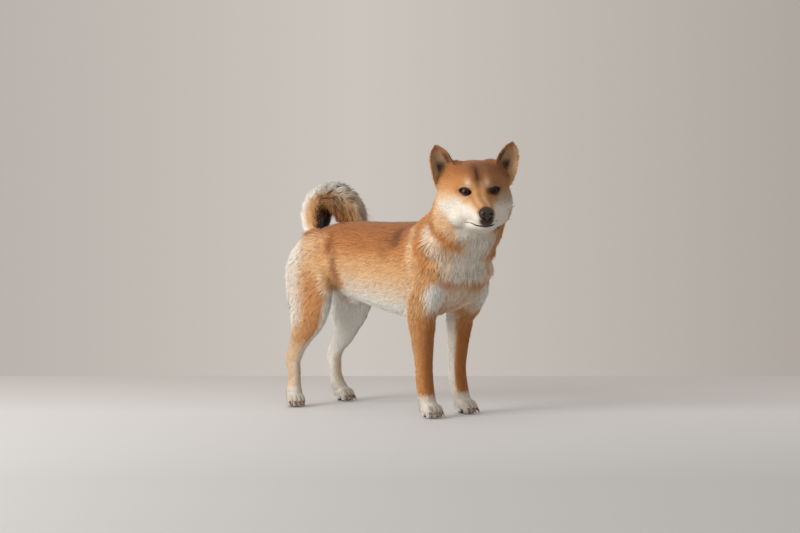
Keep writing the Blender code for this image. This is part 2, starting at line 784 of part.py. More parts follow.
def make_nose(head):
    """The nose leather with its two nostrils, seated in the front of the muzzle."""
    bm = bmesh.new()
    ellipsoid(bm, NOSE_CENTRE, NOSE_HALF)
    for s in SIDES.values():
        ellipsoid(bm, NOSE_CENTRE + Vector((0.0035, s * 0.0070, -0.0005)), (0.0080, 0.0064, 0.0082))
    ellipsoid(bm, NOSE_CENTRE + Vector((0.002, 0, -0.0090)), (0.0070, 0.0042, 0.0050))
    bm.transform(head_matrix())
    nose = melted("nose_form", bm, NOSE_VOXEL, 3, NOSE_TRIANGLES)
    for s in SIDES.values():
        for offset, radii, turn in (
            (Vector((0.0120, s * 0.0062, -0.0012)), (0.0052, 0.0026, 0.0029), 0),
            (Vector((0.0100, s * 0.0105, -0.0022)), (0.0045, 0.0030, 0.0011), s * 35),
        ):
            bm = bmesh.new()
            ellipsoid(bm, NOSE_CENTRE + offset, radii, (0, 0, turn), sides=9)
            bm.transform(head_matrix())
            nostril = object_from("nostril", bm)
            boolean(nose, nostril, "DIFFERENCE")
            drop(nostril)
    largest_body(nose)
    socket = puffed(nose, GAP)
    boolean(head, socket, "DIFFERENCE")
    drop(socket)
    as_node(nose, "nose", "nose_leather")


def make_head():
    """The head with lids and lips, the lower jaw parted at the mouth, the nose and both eyes."""
    bm = bmesh.new()
    add_skull(bm)
    add_muzzle(bm)
    add_face(bm)
    bm.transform(head_matrix())
    add_neck(bm)
    head = melted("head_form", bm, HEAD_VOXEL, 22, HEAD_TRIANGLES)
    point, normal = head_base_plane()
    keep = region("head_side", [(point, -normal)], -GAP)
    boolean(head, keep, "INTERSECT")
    upper_lip = tube("upper_lip", mouth_line(head, 0.0016), LIP_RADIUS)
    lower_lip = tube("lower_lip", mouth_line(head, -0.0019), LIP_RADIUS * 0.9)
    jaw = evaluated_copy(head, "jaw_form")
    boolean(head, upper_lip, "UNION")
    boolean(jaw, lower_lip, "UNION")
    slope = MOUTH_FRONT - Vector((MOUTH_CORNER.x, 0, MOUTH_CORNER.z))
    turn = head_matrix().to_3x3()
    mouth_normal = turn @ Vector((-slope.z, 0, slope.x)).normalized()
    planes = [
        (in_head(*MOUTH_FRONT), mouth_normal),
        (in_head(MOUTH_CORNER.x - 0.002, 0, MOUTH_CORNER.z), turn @ Vector((-1, 0, -0.35))),
    ]
    below = region("jaw_side", planes, -GAP)
    boolean(jaw, below, "INTERSECT")
    mouth = region("mouth_cut", planes)
    boolean(head, mouth, "DIFFERENCE")
    drop(keep, upper_lip, lower_lip, below, mouth)
    for side_name in SIDES:
        make_eye(head, side_name)
    make_nose(head)
    as_node(largest_body(jaw), "lower_jaw", "coat_cream")
    as_node(largest_body(head), "head", "coat_red")


def make_ear(side_name):
    """A pricked ear: a cupped shell that opens forwards, rounded at its tip and flared inwards at its foot."""
    side = SIDES[side_name]
    base = Vector((EAR_BASE.x, side * EAR_BASE.y, EAR_BASE.z))
    tip = Vector((EAR_TIP.x, side * EAR_TIP.y, EAR_TIP.z))
    axis = (tip - base).normalized()
    root = base - axis * 0.014
    length = (tip - root).length
    forward = Vector((math.cos(math.radians(12)), side * math.sin(math.radians(12)), 0))
    forward = (forward - axis * axis.dot(forward)).normalized()
    across = forward.cross(axis).normalized()
    bm = bmesh.new()
    rows, columns = EAR_GRID
    grid = []
    for i in range(rows + 1):
        t = i / rows
        size = max(1 - t**2.5, 0.0) ** 0.66 * (1 - 0.12 * (1 - t)) + 0.03
        flare = EAR_FLARE * max(1 - t / EAR_FLARE_END, 0.0) ** 1.5
        spread = math.radians(92 + 14 * math.sin(math.pi * t))
        centre = root + axis * (length * t)
        line = []
        for j in range(columns + 1):
            angle = spread * (2 * j / columns - 1)
            inwards = max(side * math.sin(angle), 0.0)
            sideways = across * (EAR_HALF_WIDTH * size * math.sin(angle) * (1 + flare * inwards))
            back = -forward * (EAR_HALF_DEPTH * size * (math.cos(angle) - 0.25))
            line.append(bm.verts.new(centre + sideways + back))
        grid.append(line)
    for low, high in zip(grid, grid[1:]):
        for j in range(columns):
            bm.faces.new((low[j], low[j + 1], high[j + 1], high[j]))
    bm.transform(head_matrix())
    ear = object_from("ear_form", bm)
    shell = ear.modifiers.new("thickness", "SOLIDIFY")
    shell.thickness = EAR_THICKNESS
    shell.offset = 0.0
    shell.use_even_offset = False
    apply_modifiers(ear)
    seat(ear, bpy.data.objects["head"])
    as_node(ear, "ear_" + side_name, "coat_red")


# The tail
def tail_point(t):
    """A point of the tail's middle line, from its root at 0 to its tip at 1."""
    angle = TAIL_FROM + (TAIL_TO - TAIL_FROM) * t
    low, high = TAIL_CURL_RADIUS
    reach = low + (high - low) * t**3
    drift = TAIL_DRIFT * t * t
    return TAIL_CENTRE + Vector((reach * math.cos(angle), drift, 0.94 * reach * math.sin(angle)))


def tail_frame(t):
    """The tail's tangent, its outward direction in the curl and its sideways direction."""
    tangent = (tail_point(t + 0.01) - tail_point(t - 0.01)).normalized()
    outward = tail_point(t) - TAIL_CENTRE
    outward = (outward - tangent * outward.dot(tangent)).normalized()
    return tangent, outward, tangent.cross(outward)


def coat_radius(t):
    """How far the tail's coat reaches from its middle line."""
    return TAIL_COAT_RADIUS * (0.88 + 0.24 * math.sin(math.pi * min(t * 0.9 + 0.05, 1.0)))


def add_lock(bm, root, along, lift, length, width, thickness, bend):
    """Adds a flat, tapered lock that starts along its lie, is lifted a little and bends back down."""
    side = along.cross(lift).normalized()
    rings = []
    for share, size in ((0.0, 0.80), (0.35, 1.0), (0.72, 0.66)):
        centre = root + along * (length * share) + lift * (bend * length * share * (1 - 0.55 * share))
        ring = [
            centre + side * (width * size / 2),
            centre + lift * (thickness * size),
            centre - side * (width * size / 2),
            centre - lift * (thickness * size * 0.6),
        ]
        rings.append([bm.verts.new(p) for p in ring])
    tip = bm.verts.new(root + along * length + lift * (bend * length * 0.45))
    for low, high in zip(rings, rings[1:]):
        for k in range(4):
            bm.faces.new((low[k], low[(k + 1) % 4], high[(k + 1) % 4], high[k]))
    for k in range(4):
        bm.faces.new((rings[-1][k], rings[-1][(k + 1) % 4], tip))
    bm.faces.new(rings[0][::-1])


def join_all(core, pieces):
    """Joins a collection of closed pieces to the core by one Boolean union, and removes them."""
    collection = bpy.data.collections.new("to_join")
    scratch.children.link(collection)
    for piece in pieces:
        scratch.objects.unlink(piece)
        collection.objects.link(piece)
    modifier = core.modifiers.new("join", "BOOLEAN")
    modifier.operation = "UNION"
    modifier.operand_type = "COLLECTION"
    modifier.collection = collection
    modifier.solver = "MANIFOLD"
    apply_modifiers(core)
    drop(*pieces)
    bpy.data.collections.remove(collection)
    return core


def lock_length(depth, splay, curving):
    """How long a straight lock is that ends depth further out, while the tail curves away under it."""
    bow = 0.5 * curving * math.cos(splay) ** 2
    if abs(bow) < 0.01:
        return depth / math.sin(splay)
    return (math.sqrt(max(math.sin(splay) ** 2 + 4 * bow * depth, 0.0)) - math.sin(splay)) / (2 * bow)


def tail_locks(rng):
    """The locks of the tail's brush, in rings from the root to the tip, each a closed helper."""
    pieces = []
    for ring in range(LOCK_RINGS):
        t = 0.98 * ring / (LOCK_RINGS - 1)
        for k in range(LOCKS_ROUND):
            here = min(t + rng.uniform(-0.015, 0.015), 1.0)
            tangent, outward, sideways = tail_frame(here)
            angle = 2 * math.pi * (k + 0.5 * (ring % 2) + rng.uniform(-0.12, 0.12)) / LOCKS_ROUND
            radial = outward * math.cos(angle) + sideways * math.sin(angle)
            outer = coat_radius(here)
            splay = math.radians(40 - 12 * math.cos(angle) + rng.uniform(-4, 4))
            along = (tangent * math.cos(splay) + radial * math.sin(splay)).normalized()
            lift = (radial * math.cos(splay) - tangent * math.sin(splay)).normalized()
            sunk = outer * TAIL_CORE_SHARE * 0.45
            curving = math.cos(angle) / TAIL_CURL_RADIUS[0]
            length = lock_length(outer - sunk, splay, curving) * rng.uniform(0.95, 1.06)
            bm = bmesh.new()
            root = tail_point(here) + radial * sunk
            add_lock(bm, root, along, lift, length, rng.uniform(*LOCK_WIDTHS), LOCK_THICKNESS, 0.10)
            pieces.append(object_from("lock", bm))
    return pieces


def make_tail():
    """The curled tail: a core along its bone with a brush of overlapping locks, in two nodes."""
    rows = []
    for k in range(9):
        t = -0.10 + 1.10 * k / 8
        radius = coat_radius(max(t, 0.0)) * TAIL_CORE_SHARE * (1.15 if t < 0.05 else 1.0)
        rows.append((*tail_point(t), radius, radius))
    bm = bmesh.new()
    loft(bm, rows, sides=12, per_span=2)
    tail = object_from("tail_form", bm)
    join_all(tail, tail_locks(random.Random(7)))
    largest_body(tail)
    seat(tail, bpy.data.objects["torso"], 2 * GAP)
    tangent = tail_frame(TAIL_SPLIT)[0]
    for name, way, grow in (("tail_base", 1, 0.0), ("tail_tip", -1, -GAP)):
        piece = evaluated_copy(tail, name)
        keep = region("tail_side", [(tail_point(TAIL_SPLIT), tangent * way)], grow)
        boolean(piece, keep, "INTERSECT")
        drop(keep)
        as_node(largest_body(piece), name, "coat_tail")
    drop(tail)


def centre_on_floor():
    """Moves every node so that the middle of the dog's bounding box is over the origin."""
    corners = [vertex.co for obj in model.objects for vertex in obj.data.vertices]
    middle = [0.5 * (min(c[i] for c in corners) + max(c[i] for c in corners)) for i in range(2)]
    for obj in model.objects:
        obj.data.transform(Matrix.Translation((-middle[0], -middle[1], 0)))


def main():
    clear_scene()
    body = body_form()
    part_body(body)
    drop(body)
    for name in STANCE:
        make_paw(name)
    make_head()
    for side_name in SIDES:
        make_ear(side_name)
    make_tail()
    centre_on_floor()


main()
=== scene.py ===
"""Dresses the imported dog: one skin, its coat of tufts and locks, eyes, lids, nose, lips and claws.

It also sets the photo's camera, a floor and the light. All work is done in the design frame of the
solids, where the dog's spine is over Y = 0. Every finished mesh is moved into the row frame by SHIFT.
"""

import math

import bmesh
import bpy
import numpy as np
from mathutils import Matrix, Vector
from mathutils.bvhtree import BVHTree


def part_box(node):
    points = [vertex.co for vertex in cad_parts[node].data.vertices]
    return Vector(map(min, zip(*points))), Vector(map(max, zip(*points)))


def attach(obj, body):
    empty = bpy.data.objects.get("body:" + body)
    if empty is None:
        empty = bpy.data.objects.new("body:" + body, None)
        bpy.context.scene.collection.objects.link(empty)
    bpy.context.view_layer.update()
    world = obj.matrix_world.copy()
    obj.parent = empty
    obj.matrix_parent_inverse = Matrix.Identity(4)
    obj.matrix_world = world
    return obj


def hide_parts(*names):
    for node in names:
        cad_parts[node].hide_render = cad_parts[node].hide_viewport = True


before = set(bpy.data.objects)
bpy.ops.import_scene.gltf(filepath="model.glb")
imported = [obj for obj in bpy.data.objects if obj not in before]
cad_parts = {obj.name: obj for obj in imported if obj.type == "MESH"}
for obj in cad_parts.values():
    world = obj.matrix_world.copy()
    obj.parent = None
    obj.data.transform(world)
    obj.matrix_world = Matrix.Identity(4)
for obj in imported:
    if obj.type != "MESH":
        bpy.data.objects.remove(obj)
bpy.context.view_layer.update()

SIDES = {"left": 1, "right": -1}

# Sizes in metres, most of them the solids' own
HEAD_ORIGIN = Vector((0.288, -0.027, 0.436))
HEAD_YAW = math.radians(-35)
HEAD_ROLL = math.radians(2.6)
EYE_CENTRE = Vector((0.0375, 0.0248, 0.0120))
EYE_RADIUS = 0.0125
EYE_GAZE_OUT = math.radians(22)
EYE_SLANT = math.radians(16)
EYE_HALF_LENGTH = 0.0120
EYE_HALF_HEIGHT = 0.0048
LID_REACH = (0.0152, 0.0078)
LID_POINTS = 72
LID_STEPS = 7
LID_BULGE = 0.0011
EYE_SEARCH = 0.05
NOSE_CENTRE = Vector((0.1000, 0.0, -0.0310))
MOUTH_CORNER = Vector((0.058, 0.030, -0.0455))
MOUTH_FRONT = Vector((0.101, 0.0, -0.0560))
EAR_BASE = Vector((-0.006, 0.0560, 0.040))
EAR_TIP = Vector((0.012, 0.0770, 0.1050))
STANCE = {
    "front_left": {"leg": (0.157, 0.058), "paw": (0.178, 0.057), "turn": 12},
    "front_right": {"leg": (0.177, -0.058), "paw": (0.194, -0.059), "turn": -2},
    "hind_left": {"leg": (-0.223, 0.071), "paw": (-0.203, 0.076), "turn": 10},
    "hind_right": {"leg": (-0.187, -0.079), "paw": (-0.176, -0.088), "turn": -25},
}
PAW_HALF_LENGTH = {"front": 0.0270, "hind": 0.0260}
PAW_HALF_WIDTH = {"front": 0.0215, "hind": 0.0200}
TOES = (-1.5, -0.5, 0.5, 1.5)
TOE_STEP = 0.4976
TOE_GAP = 0.0012
CLAW_LENGTH = 0.0100
CLAW_RADIUS = 0.0024
CLAW_DROP = 0.0092
CLAW_HEIGHT = 0.0120
CLAW_SETBACK = 0.0085
OUTER_SETBACK = 0.0045
CLAW_BED = 0.003
CLAW_TAPER = 0.86
LIP_STEPS = 24
LIP_RADIUS = 0.0014
LIP_END_RADIUS = 0.0003
LIP_SEARCH = 0.08
LIP_SEARCH_LENGTH = 0.1
LIP_LIFT = 0.0004
LID_CLEARANCE = 1.04
LID_HIDDEN_DEPTH = 0.003
CORNEA_RISE = 0.035
CORNEA_DEGREES = (34, 22)
IRIS_DEGREES = (36, 30)
PUPIL_DEGREES = (22, 17)
TAIL_CENTRE = Vector((-0.164, 0.0, 0.3950))
TAIL_FROM = math.radians(238)
TAIL_TO = math.radians(-14)
TAIL_CURL_RADIUS = (0.046, 0.062)
TAIL_DRIFT = 0.022
TAIL_COAT_RADIUS = 0.0315
TAIL_CORE_SHARE = 0.56

# The skin and the coat
SKIN_VOXEL = 0.0018
NECK_SPREAD = 60
FLESH = ("torso", "neck", "head", "lower_jaw", "ear_left", "ear_right")
LEGS = tuple("leg_" + name for name in STANCE)
PAWS = tuple("paw_" + name for name in STANCE)
TAIL_RINGS = 40
TAIL_SIDES = 24
COAT_SHARE = 1.0
QUICK_TAIL_SHARE = 0.3
SINK_SHARE = 0.80
ROOT_DEPTH = 0.0006
ROOT_SHADE = 0.80
TIP_SHADE = 1.08
TUFT_PATCH = 0.003
PIECE_TRIANGLES = 190000
LONG_DENSITY = 190000
LONG_DENSITY_HEAD = 60000
FINE_DENSITY = 420000
FINE_DENSITY_FACE = 500000
FINE_DENSITY_PAW = 300000
LIE_SPREAD = 0.16
LENGTH_SPREAD = (0.7, 1.15)
WIDTH_SPREAD = (0.7, 1.2)
LIFT_SPREAD = (0.65, 1.25)
TUFT_WIDTHS = (0.0006, 0.0024)
TAIL_CELL = 0.80
TAIL_CELL_SIZE = 0.18
BACK_HEIGHT = 0.386
BACK_HALF_WIDTH = 0.06
RUMP_START = -0.130
TAIL_CLUMPS = 760
CLUMP_LOCKS = 15
LOCK_RINGS = 4
LOCK_WIDTHS = (0.0012, 0.0020)
LOCK_SPLAY = (46, 10)

# Surfaces
MARKING = "Marking"
STRAND_SHADES = (0.86, 1.12)
STRAND_DEPTH = 0.001
CLOUDINESS = 0.15
NOSE_VOXEL = 0.00055
NOSE_SMOOTHING = 6
RNG = np.random.default_rng(11)


def head_matrix():
    """The head's frame in the design frame."""
    turn = Matrix.Rotation(HEAD_YAW, 4, "Z") @ Matrix.Rotation(HEAD_ROLL, 4, "X")
    return Matrix.Translation(HEAD_ORIGIN) @ turn


HEAD = head_matrix()
HEAD_TURN = np.array(HEAD.to_3x3())


def row_shift():
    """From the design frame to the row frame, read from where the left eye's ball is."""
    low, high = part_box("eye_left")
    ball = HEAD @ Vector((EYE_CENTRE.x, EYE_CENTRE.y, EYE_CENTRE.z))
    return Vector((0.5 * (low[0] + high[0]) - ball.x, 0.5 * (low[1] + high[1]) - ball.y, 0.0))


SHIFT = row_shift()


def in_head(points):
    """Design-frame points as numpy rows in the head's frame."""
    return (points - np.array(HEAD_ORIGIN)) @ HEAD_TURN


def ahead_of_face(normals):
    """How far each normal points the way that the face looks."""
    return normals @ HEAD_TURN[:, 0]


def unit(rows):
    """Rows scaled to length one."""
    return rows / np.maximum(np.linalg.norm(rows, axis=1), 1e-9)[:, None]


def ramp(values, low, high):
    """A smooth step from 0 at low to 1 at high, or falling where low is above high."""
    t = np.clip((values - low) / (high - low), 0.0, 1.0)
    return t * t * (3 - 2 * t)


def blob(points, centre, radii, soft=0.35):
    """1 inside an ellipsoid, falling smoothly to 0 past its surface."""
    reach = np.linalg.norm((points - np.array(centre)) / np.array(radii), axis=1)
    return ramp(reach, 1 + soft, 1 - soft)


def srgb(r, g, b):
    """A colour given in 0 to 255 as the screen shows it, as linear numbers."""
    c = np.array([r, g, b]) / 255
    return np.where(c <= 0.04045, c / 12.92, ((c + 0.055) / 1.055) ** 2.4)


def mesh_object(name, verts, faces):
    """A new smooth object from arrays of design-frame points and triangles, moved into the row frame."""
    mesh = bpy.data.meshes.new(name)
    verts = np.asarray(verts, np.float32) + np.array(SHIFT, np.float32)
    faces = np.asarray(faces, np.int32)
    mesh.vertices.add(len(verts))
    mesh.vertices.foreach_set("co", verts.ravel())
    mesh.loops.add(faces.size)
    mesh.loops.foreach_set("vertex_index", faces.ravel())
    mesh.polygons.add(len(faces))
    mesh.polygons.foreach_set("loop_start", np.arange(0, faces.size, faces.shape[1], dtype=np.int32))
    mesh.update(calc_edges=True)
    mesh.shade_smooth()
    obj = bpy.data.objects.new(name, mesh)
    bpy.context.scene.collection.objects.link(obj)
    return obj


def paint(obj, colours):
    """Gives the mesh a colour for each vertex, which its material reads."""
    layer = obj.data.color_attributes.new(MARKING, "FLOAT_COLOR", "POINT")
    rgba = np.ones((len(colours), 4), np.float32)
    rgba[:, :3] = colours
    layer.data.foreach_set("color", rgba.ravel())


def bake_map(obj, corner_uv):
    """Gives the mesh the map that its colours are baked by, one row for each face corner."""
    layer = obj.data.uv_layers.new(name="OFBake")
    layer.data.foreach_set("uv", np.asarray(corner_uv, np.float32).ravel())


def node_tree(name):
    """A new material with its node tree and its shader."""
    material = bpy.data.materials.new(name)
    material.use_nodes = True
    tree = material.node_tree
    return material, tree, tree.nodes["Principled BSDF"]


def set_inputs(node, values):
    """Sets a node's inputs from a table of their names."""
    for name, value in values.items():
        node.inputs[name].default_value = value


def add_node(tree, kind, values=None, **settings):
    """A new shader node with its settings and the values of its inputs."""
    node = tree.nodes.new("ShaderNode" + kind)
    for name, value in settings.items():
        setattr(node, name, value)
    set_inputs(node, values or {})
    return node


def add_bump(tree, shader, height, strength, distance):
    """Lets a height roughen the shader's surface."""
    bump = add_node(tree, "Bump", {"Strength": strength, "Distance": distance})
    tree.links.new(height, bump.inputs["Height"])
    tree.links.new(bump.outputs["Normal"], shader.inputs["Normal"])


def add_two_tones(tree, shader, factor, low, high):
    """Lets a factor choose between two colours of the surface."""
    mix = add_node(tree, "Mix", {"A": (*low, 1), "B": (*high, 1)}, data_type="RGBA")
    tree.links.new(factor, mix.inputs["Factor"])
    tree.links.new(mix.outputs["Result"], shader.inputs["Base Color"])


def marked_material(name, roughness, sheen, bump_scale, bump_strength):
    """A material that takes its colour from the painted markings, with fine strands as bump."""
    material, tree, shader = node_tree(name)
    marking = add_node(tree, "VertexColor", layer_name=MARKING)
    noise = add_node(tree, "TexNoise", {"Scale": bump_scale, "Detail": 3})
    low, high = STRAND_SHADES
    shade = add_node(tree, "MapRange", {"To Min": low, "To Max": high})
    mix = add_node(tree, "VectorMath", operation="SCALE")
    link = tree.links.new
    link(noise.outputs["Fac"], shade.inputs["Value"])
    link(marking.outputs["Color"], mix.inputs[0])
    link(shade.outputs["Result"], mix.inputs["Scale"])
    link(mix.outputs["Vector"], shader.inputs["Base Color"])
    add_bump(tree, shader, noise.outputs["Fac"], bump_strength, STRAND_DEPTH)
    set_inputs(shader, {"Roughness": roughness, "Sheen Weight": sheen, "Sheen Roughness": 0.6})
    set_inputs(shader, {"Specular IOR Level": 0.15})
    return material


def melted(mesh, voxel, smoothing=0):
    """A new mesh in which this one's overlapping shapes are one surface, smoothed by that many rounds."""
    obj = bpy.data.objects.new("melt", mesh)
    bpy.context.scene.collection.objects.link(obj)
    melt = obj.modifiers.new("melt", "REMESH")
    melt.mode = "VOXEL"
    melt.voxel_size = voxel
    if smoothing:
        obj.modifiers.new("soft", "SMOOTH").iterations = smoothing
    bpy.context.view_layer.update()
    result = bpy.data.meshes.new_from_object(obj.evaluated_get(bpy.context.evaluated_depsgraph_get()))
    bpy.data.objects.remove(obj, do_unlink=True)
    return result


def ring_points(centres, across, deep, angle, radii):
    """Points of circles round the centres, each in the plane of its two axes."""
    cosine, sine = np.cos(angle)[None, :, None], np.sin(angle)[None, :, None]
    ring = across[:, None] * cosine + deep[:, None] * sine
    return (centres[:, None] + ring * radii[:, None, None]).reshape(-1, 3)


def ring_quads(rings, sides):
    """The quads between rings of points that follow one another."""
    quads = []
    for i in range(rings - 1):
        for k in range(sides):
            a, b = i * sides + k, i * sides + (k + 1) % sides
            quads.append((a, b, b + sides, a + sides))
    return quads


# The skin
def tail_point(t):
    """Points of the tail's middle line, from its root at 0 to its tip at 1."""
    t = np.asarray(t, float)
    angle = TAIL_FROM + (TAIL_TO - TAIL_FROM) * t
    low, high = TAIL_CURL_RADIUS
    reach = low + (high - low) * t**3
    x = TAIL_CENTRE.x + reach * np.cos(angle)
    y = TAIL_CENTRE.y + TAIL_DRIFT * t * t
    z = TAIL_CENTRE.z + 0.94 * reach * np.sin(angle)
    return np.stack([x, y, z], axis=-1)


def tail_frame(t):
    """The tail's tangents, outward directions in the curl and sideways directions."""
    tangent = unit(tail_point(t + 0.01) - tail_point(t - 0.01))
    outward = tail_point(t) - np.array(TAIL_CENTRE)
    outward = unit(outward - tangent * (outward * tangent).sum(axis=1)[:, None])
    return tangent, outward, np.cross(tangent, outward)


def coat_radius(t):
    """How far the tail's coat reaches from its middle line."""
    return TAIL_COAT_RADIUS * (0.88 + 0.24 * np.sin(np.pi * np.minimum(t * 0.9 + 0.05, 1.0)))


def tail_core():
    """Rings round the tail's middle line, as points and quads."""
    t = np.linspace(-0.12, 1.0, TAIL_RINGS)
    _, outward, sideways = tail_frame(t)
    angle = np.linspace(0, 2 * np.pi, TAIL_SIDES, endpoint=False)
    taper = np.sqrt(np.clip(1.02 - ramp(t, 0.8, 1.05) ** 2, 0.02, 1))
    radius = coat_radius(np.maximum(t, 0)) * TAIL_CORE_SHARE * taper
    verts = ring_points(tail_point(t), outward, sideways, angle, radius)
    return verts, ring_quads(TAIL_RINGS, TAIL_SIDES)


def flesh_copy(bm, node, puff):
    """Adds a CAD node's mesh to the bmesh, a little puffed so that neighbours overlap."""
    part = bmesh.new()
    part.from_mesh(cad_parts[node].data)
    bmesh.ops.remove_doubles(part, verts=part.verts, dist=1e-6)
    part.normal_update()
    start = len(bm.verts)
    made = [bm.verts.new(v.co + v.normal * puff - SHIFT) for v in part.verts]
    part.verts.index_update()
    for face in part.faces:
        bm.faces.new([made[v.index] for v in face.verts])
    part.free()
    return start


def skin_arrays():
    """The melted flesh as points, triangles and the node that each point belongs to."""
    bm = bmesh.new()
    owners = []
    names = list(FLESH + LEGS + PAWS)
    for number, node in enumerate(names):
        start = flesh_copy(bm, node, 0.0003)
        owners += [number] * (len(bm.verts) - start)
    bm.faces.ensure_lookup_table()
    bm.verts.index_update()
    tree = BVHTree.FromBMesh(bm)
    face_owner = [owners[f.verts[0].index] for f in bm.faces]
    verts, faces = tail_core()
    made = [bm.verts.new(v) for v in verts]
    for face in faces:
        bm.faces.new([made[k] for k in face])
    bm.faces.new(made[:TAIL_SIDES][::-1])
    bm.faces.new(made[-TAIL_SIDES:])
    mesh = bpy.data.meshes.new("melt")
    bm.to_mesh(mesh)
    bm.free()
    result = melted(mesh, SKIN_VOXEL)
    result.calc_loop_triangles()
    points = np.empty(len(result.vertices) * 3, np.float32)
    result.vertices.foreach_get("co", points)
    tris = np.empty(len(result.loop_triangles) * 3, np.int32)
    result.loop_triangles.foreach_get("vertices", tris)
    points = points.reshape(-1, 3).astype(float)
    owner = np.empty(len(points), int)
    for i, point in enumerate(points):
        _, _, face, _ = tree.find_nearest(Vector(point))
        owner[i] = face_owner[face]
    near_tail = tail_nearness(points)
    owner[near_tail] = len(names)
    names.append("tail")
    return points, tris.reshape(-1, 3), owner, names


def point_normals(points, tris):
    """The points' normals, from the triangles round each."""
    a, b, c = points[tris[:, 0]], points[tris[:, 1]], points[tris[:, 2]]
    facing = np.cross(b - a, c - a)
    normals = np.zeros_like(points)
    for corner in range(3):
        for axis in range(3):
            normals[:, axis] += np.bincount(tris[:, corner], facing[:, axis], len(points))
    return unit(normals)


def tail_nearness(points):
    """Which points lie on the tail's core."""
    t = np.linspace(0.0, 1.0, 60)
    line = tail_point(t)
    radius = coat_radius(t) * TAIL_CORE_SHARE
    near = np.zeros(len(points), bool)
    close = np.linalg.norm(points - np.array(TAIL_CENTRE), axis=1) < 0.11
    gap = np.linalg.norm(points[close][:, None] - line[None], axis=2) - radius[None]
    near[np.flatnonzero(close)] = gap.min(axis=1) < 0.0015
    return near


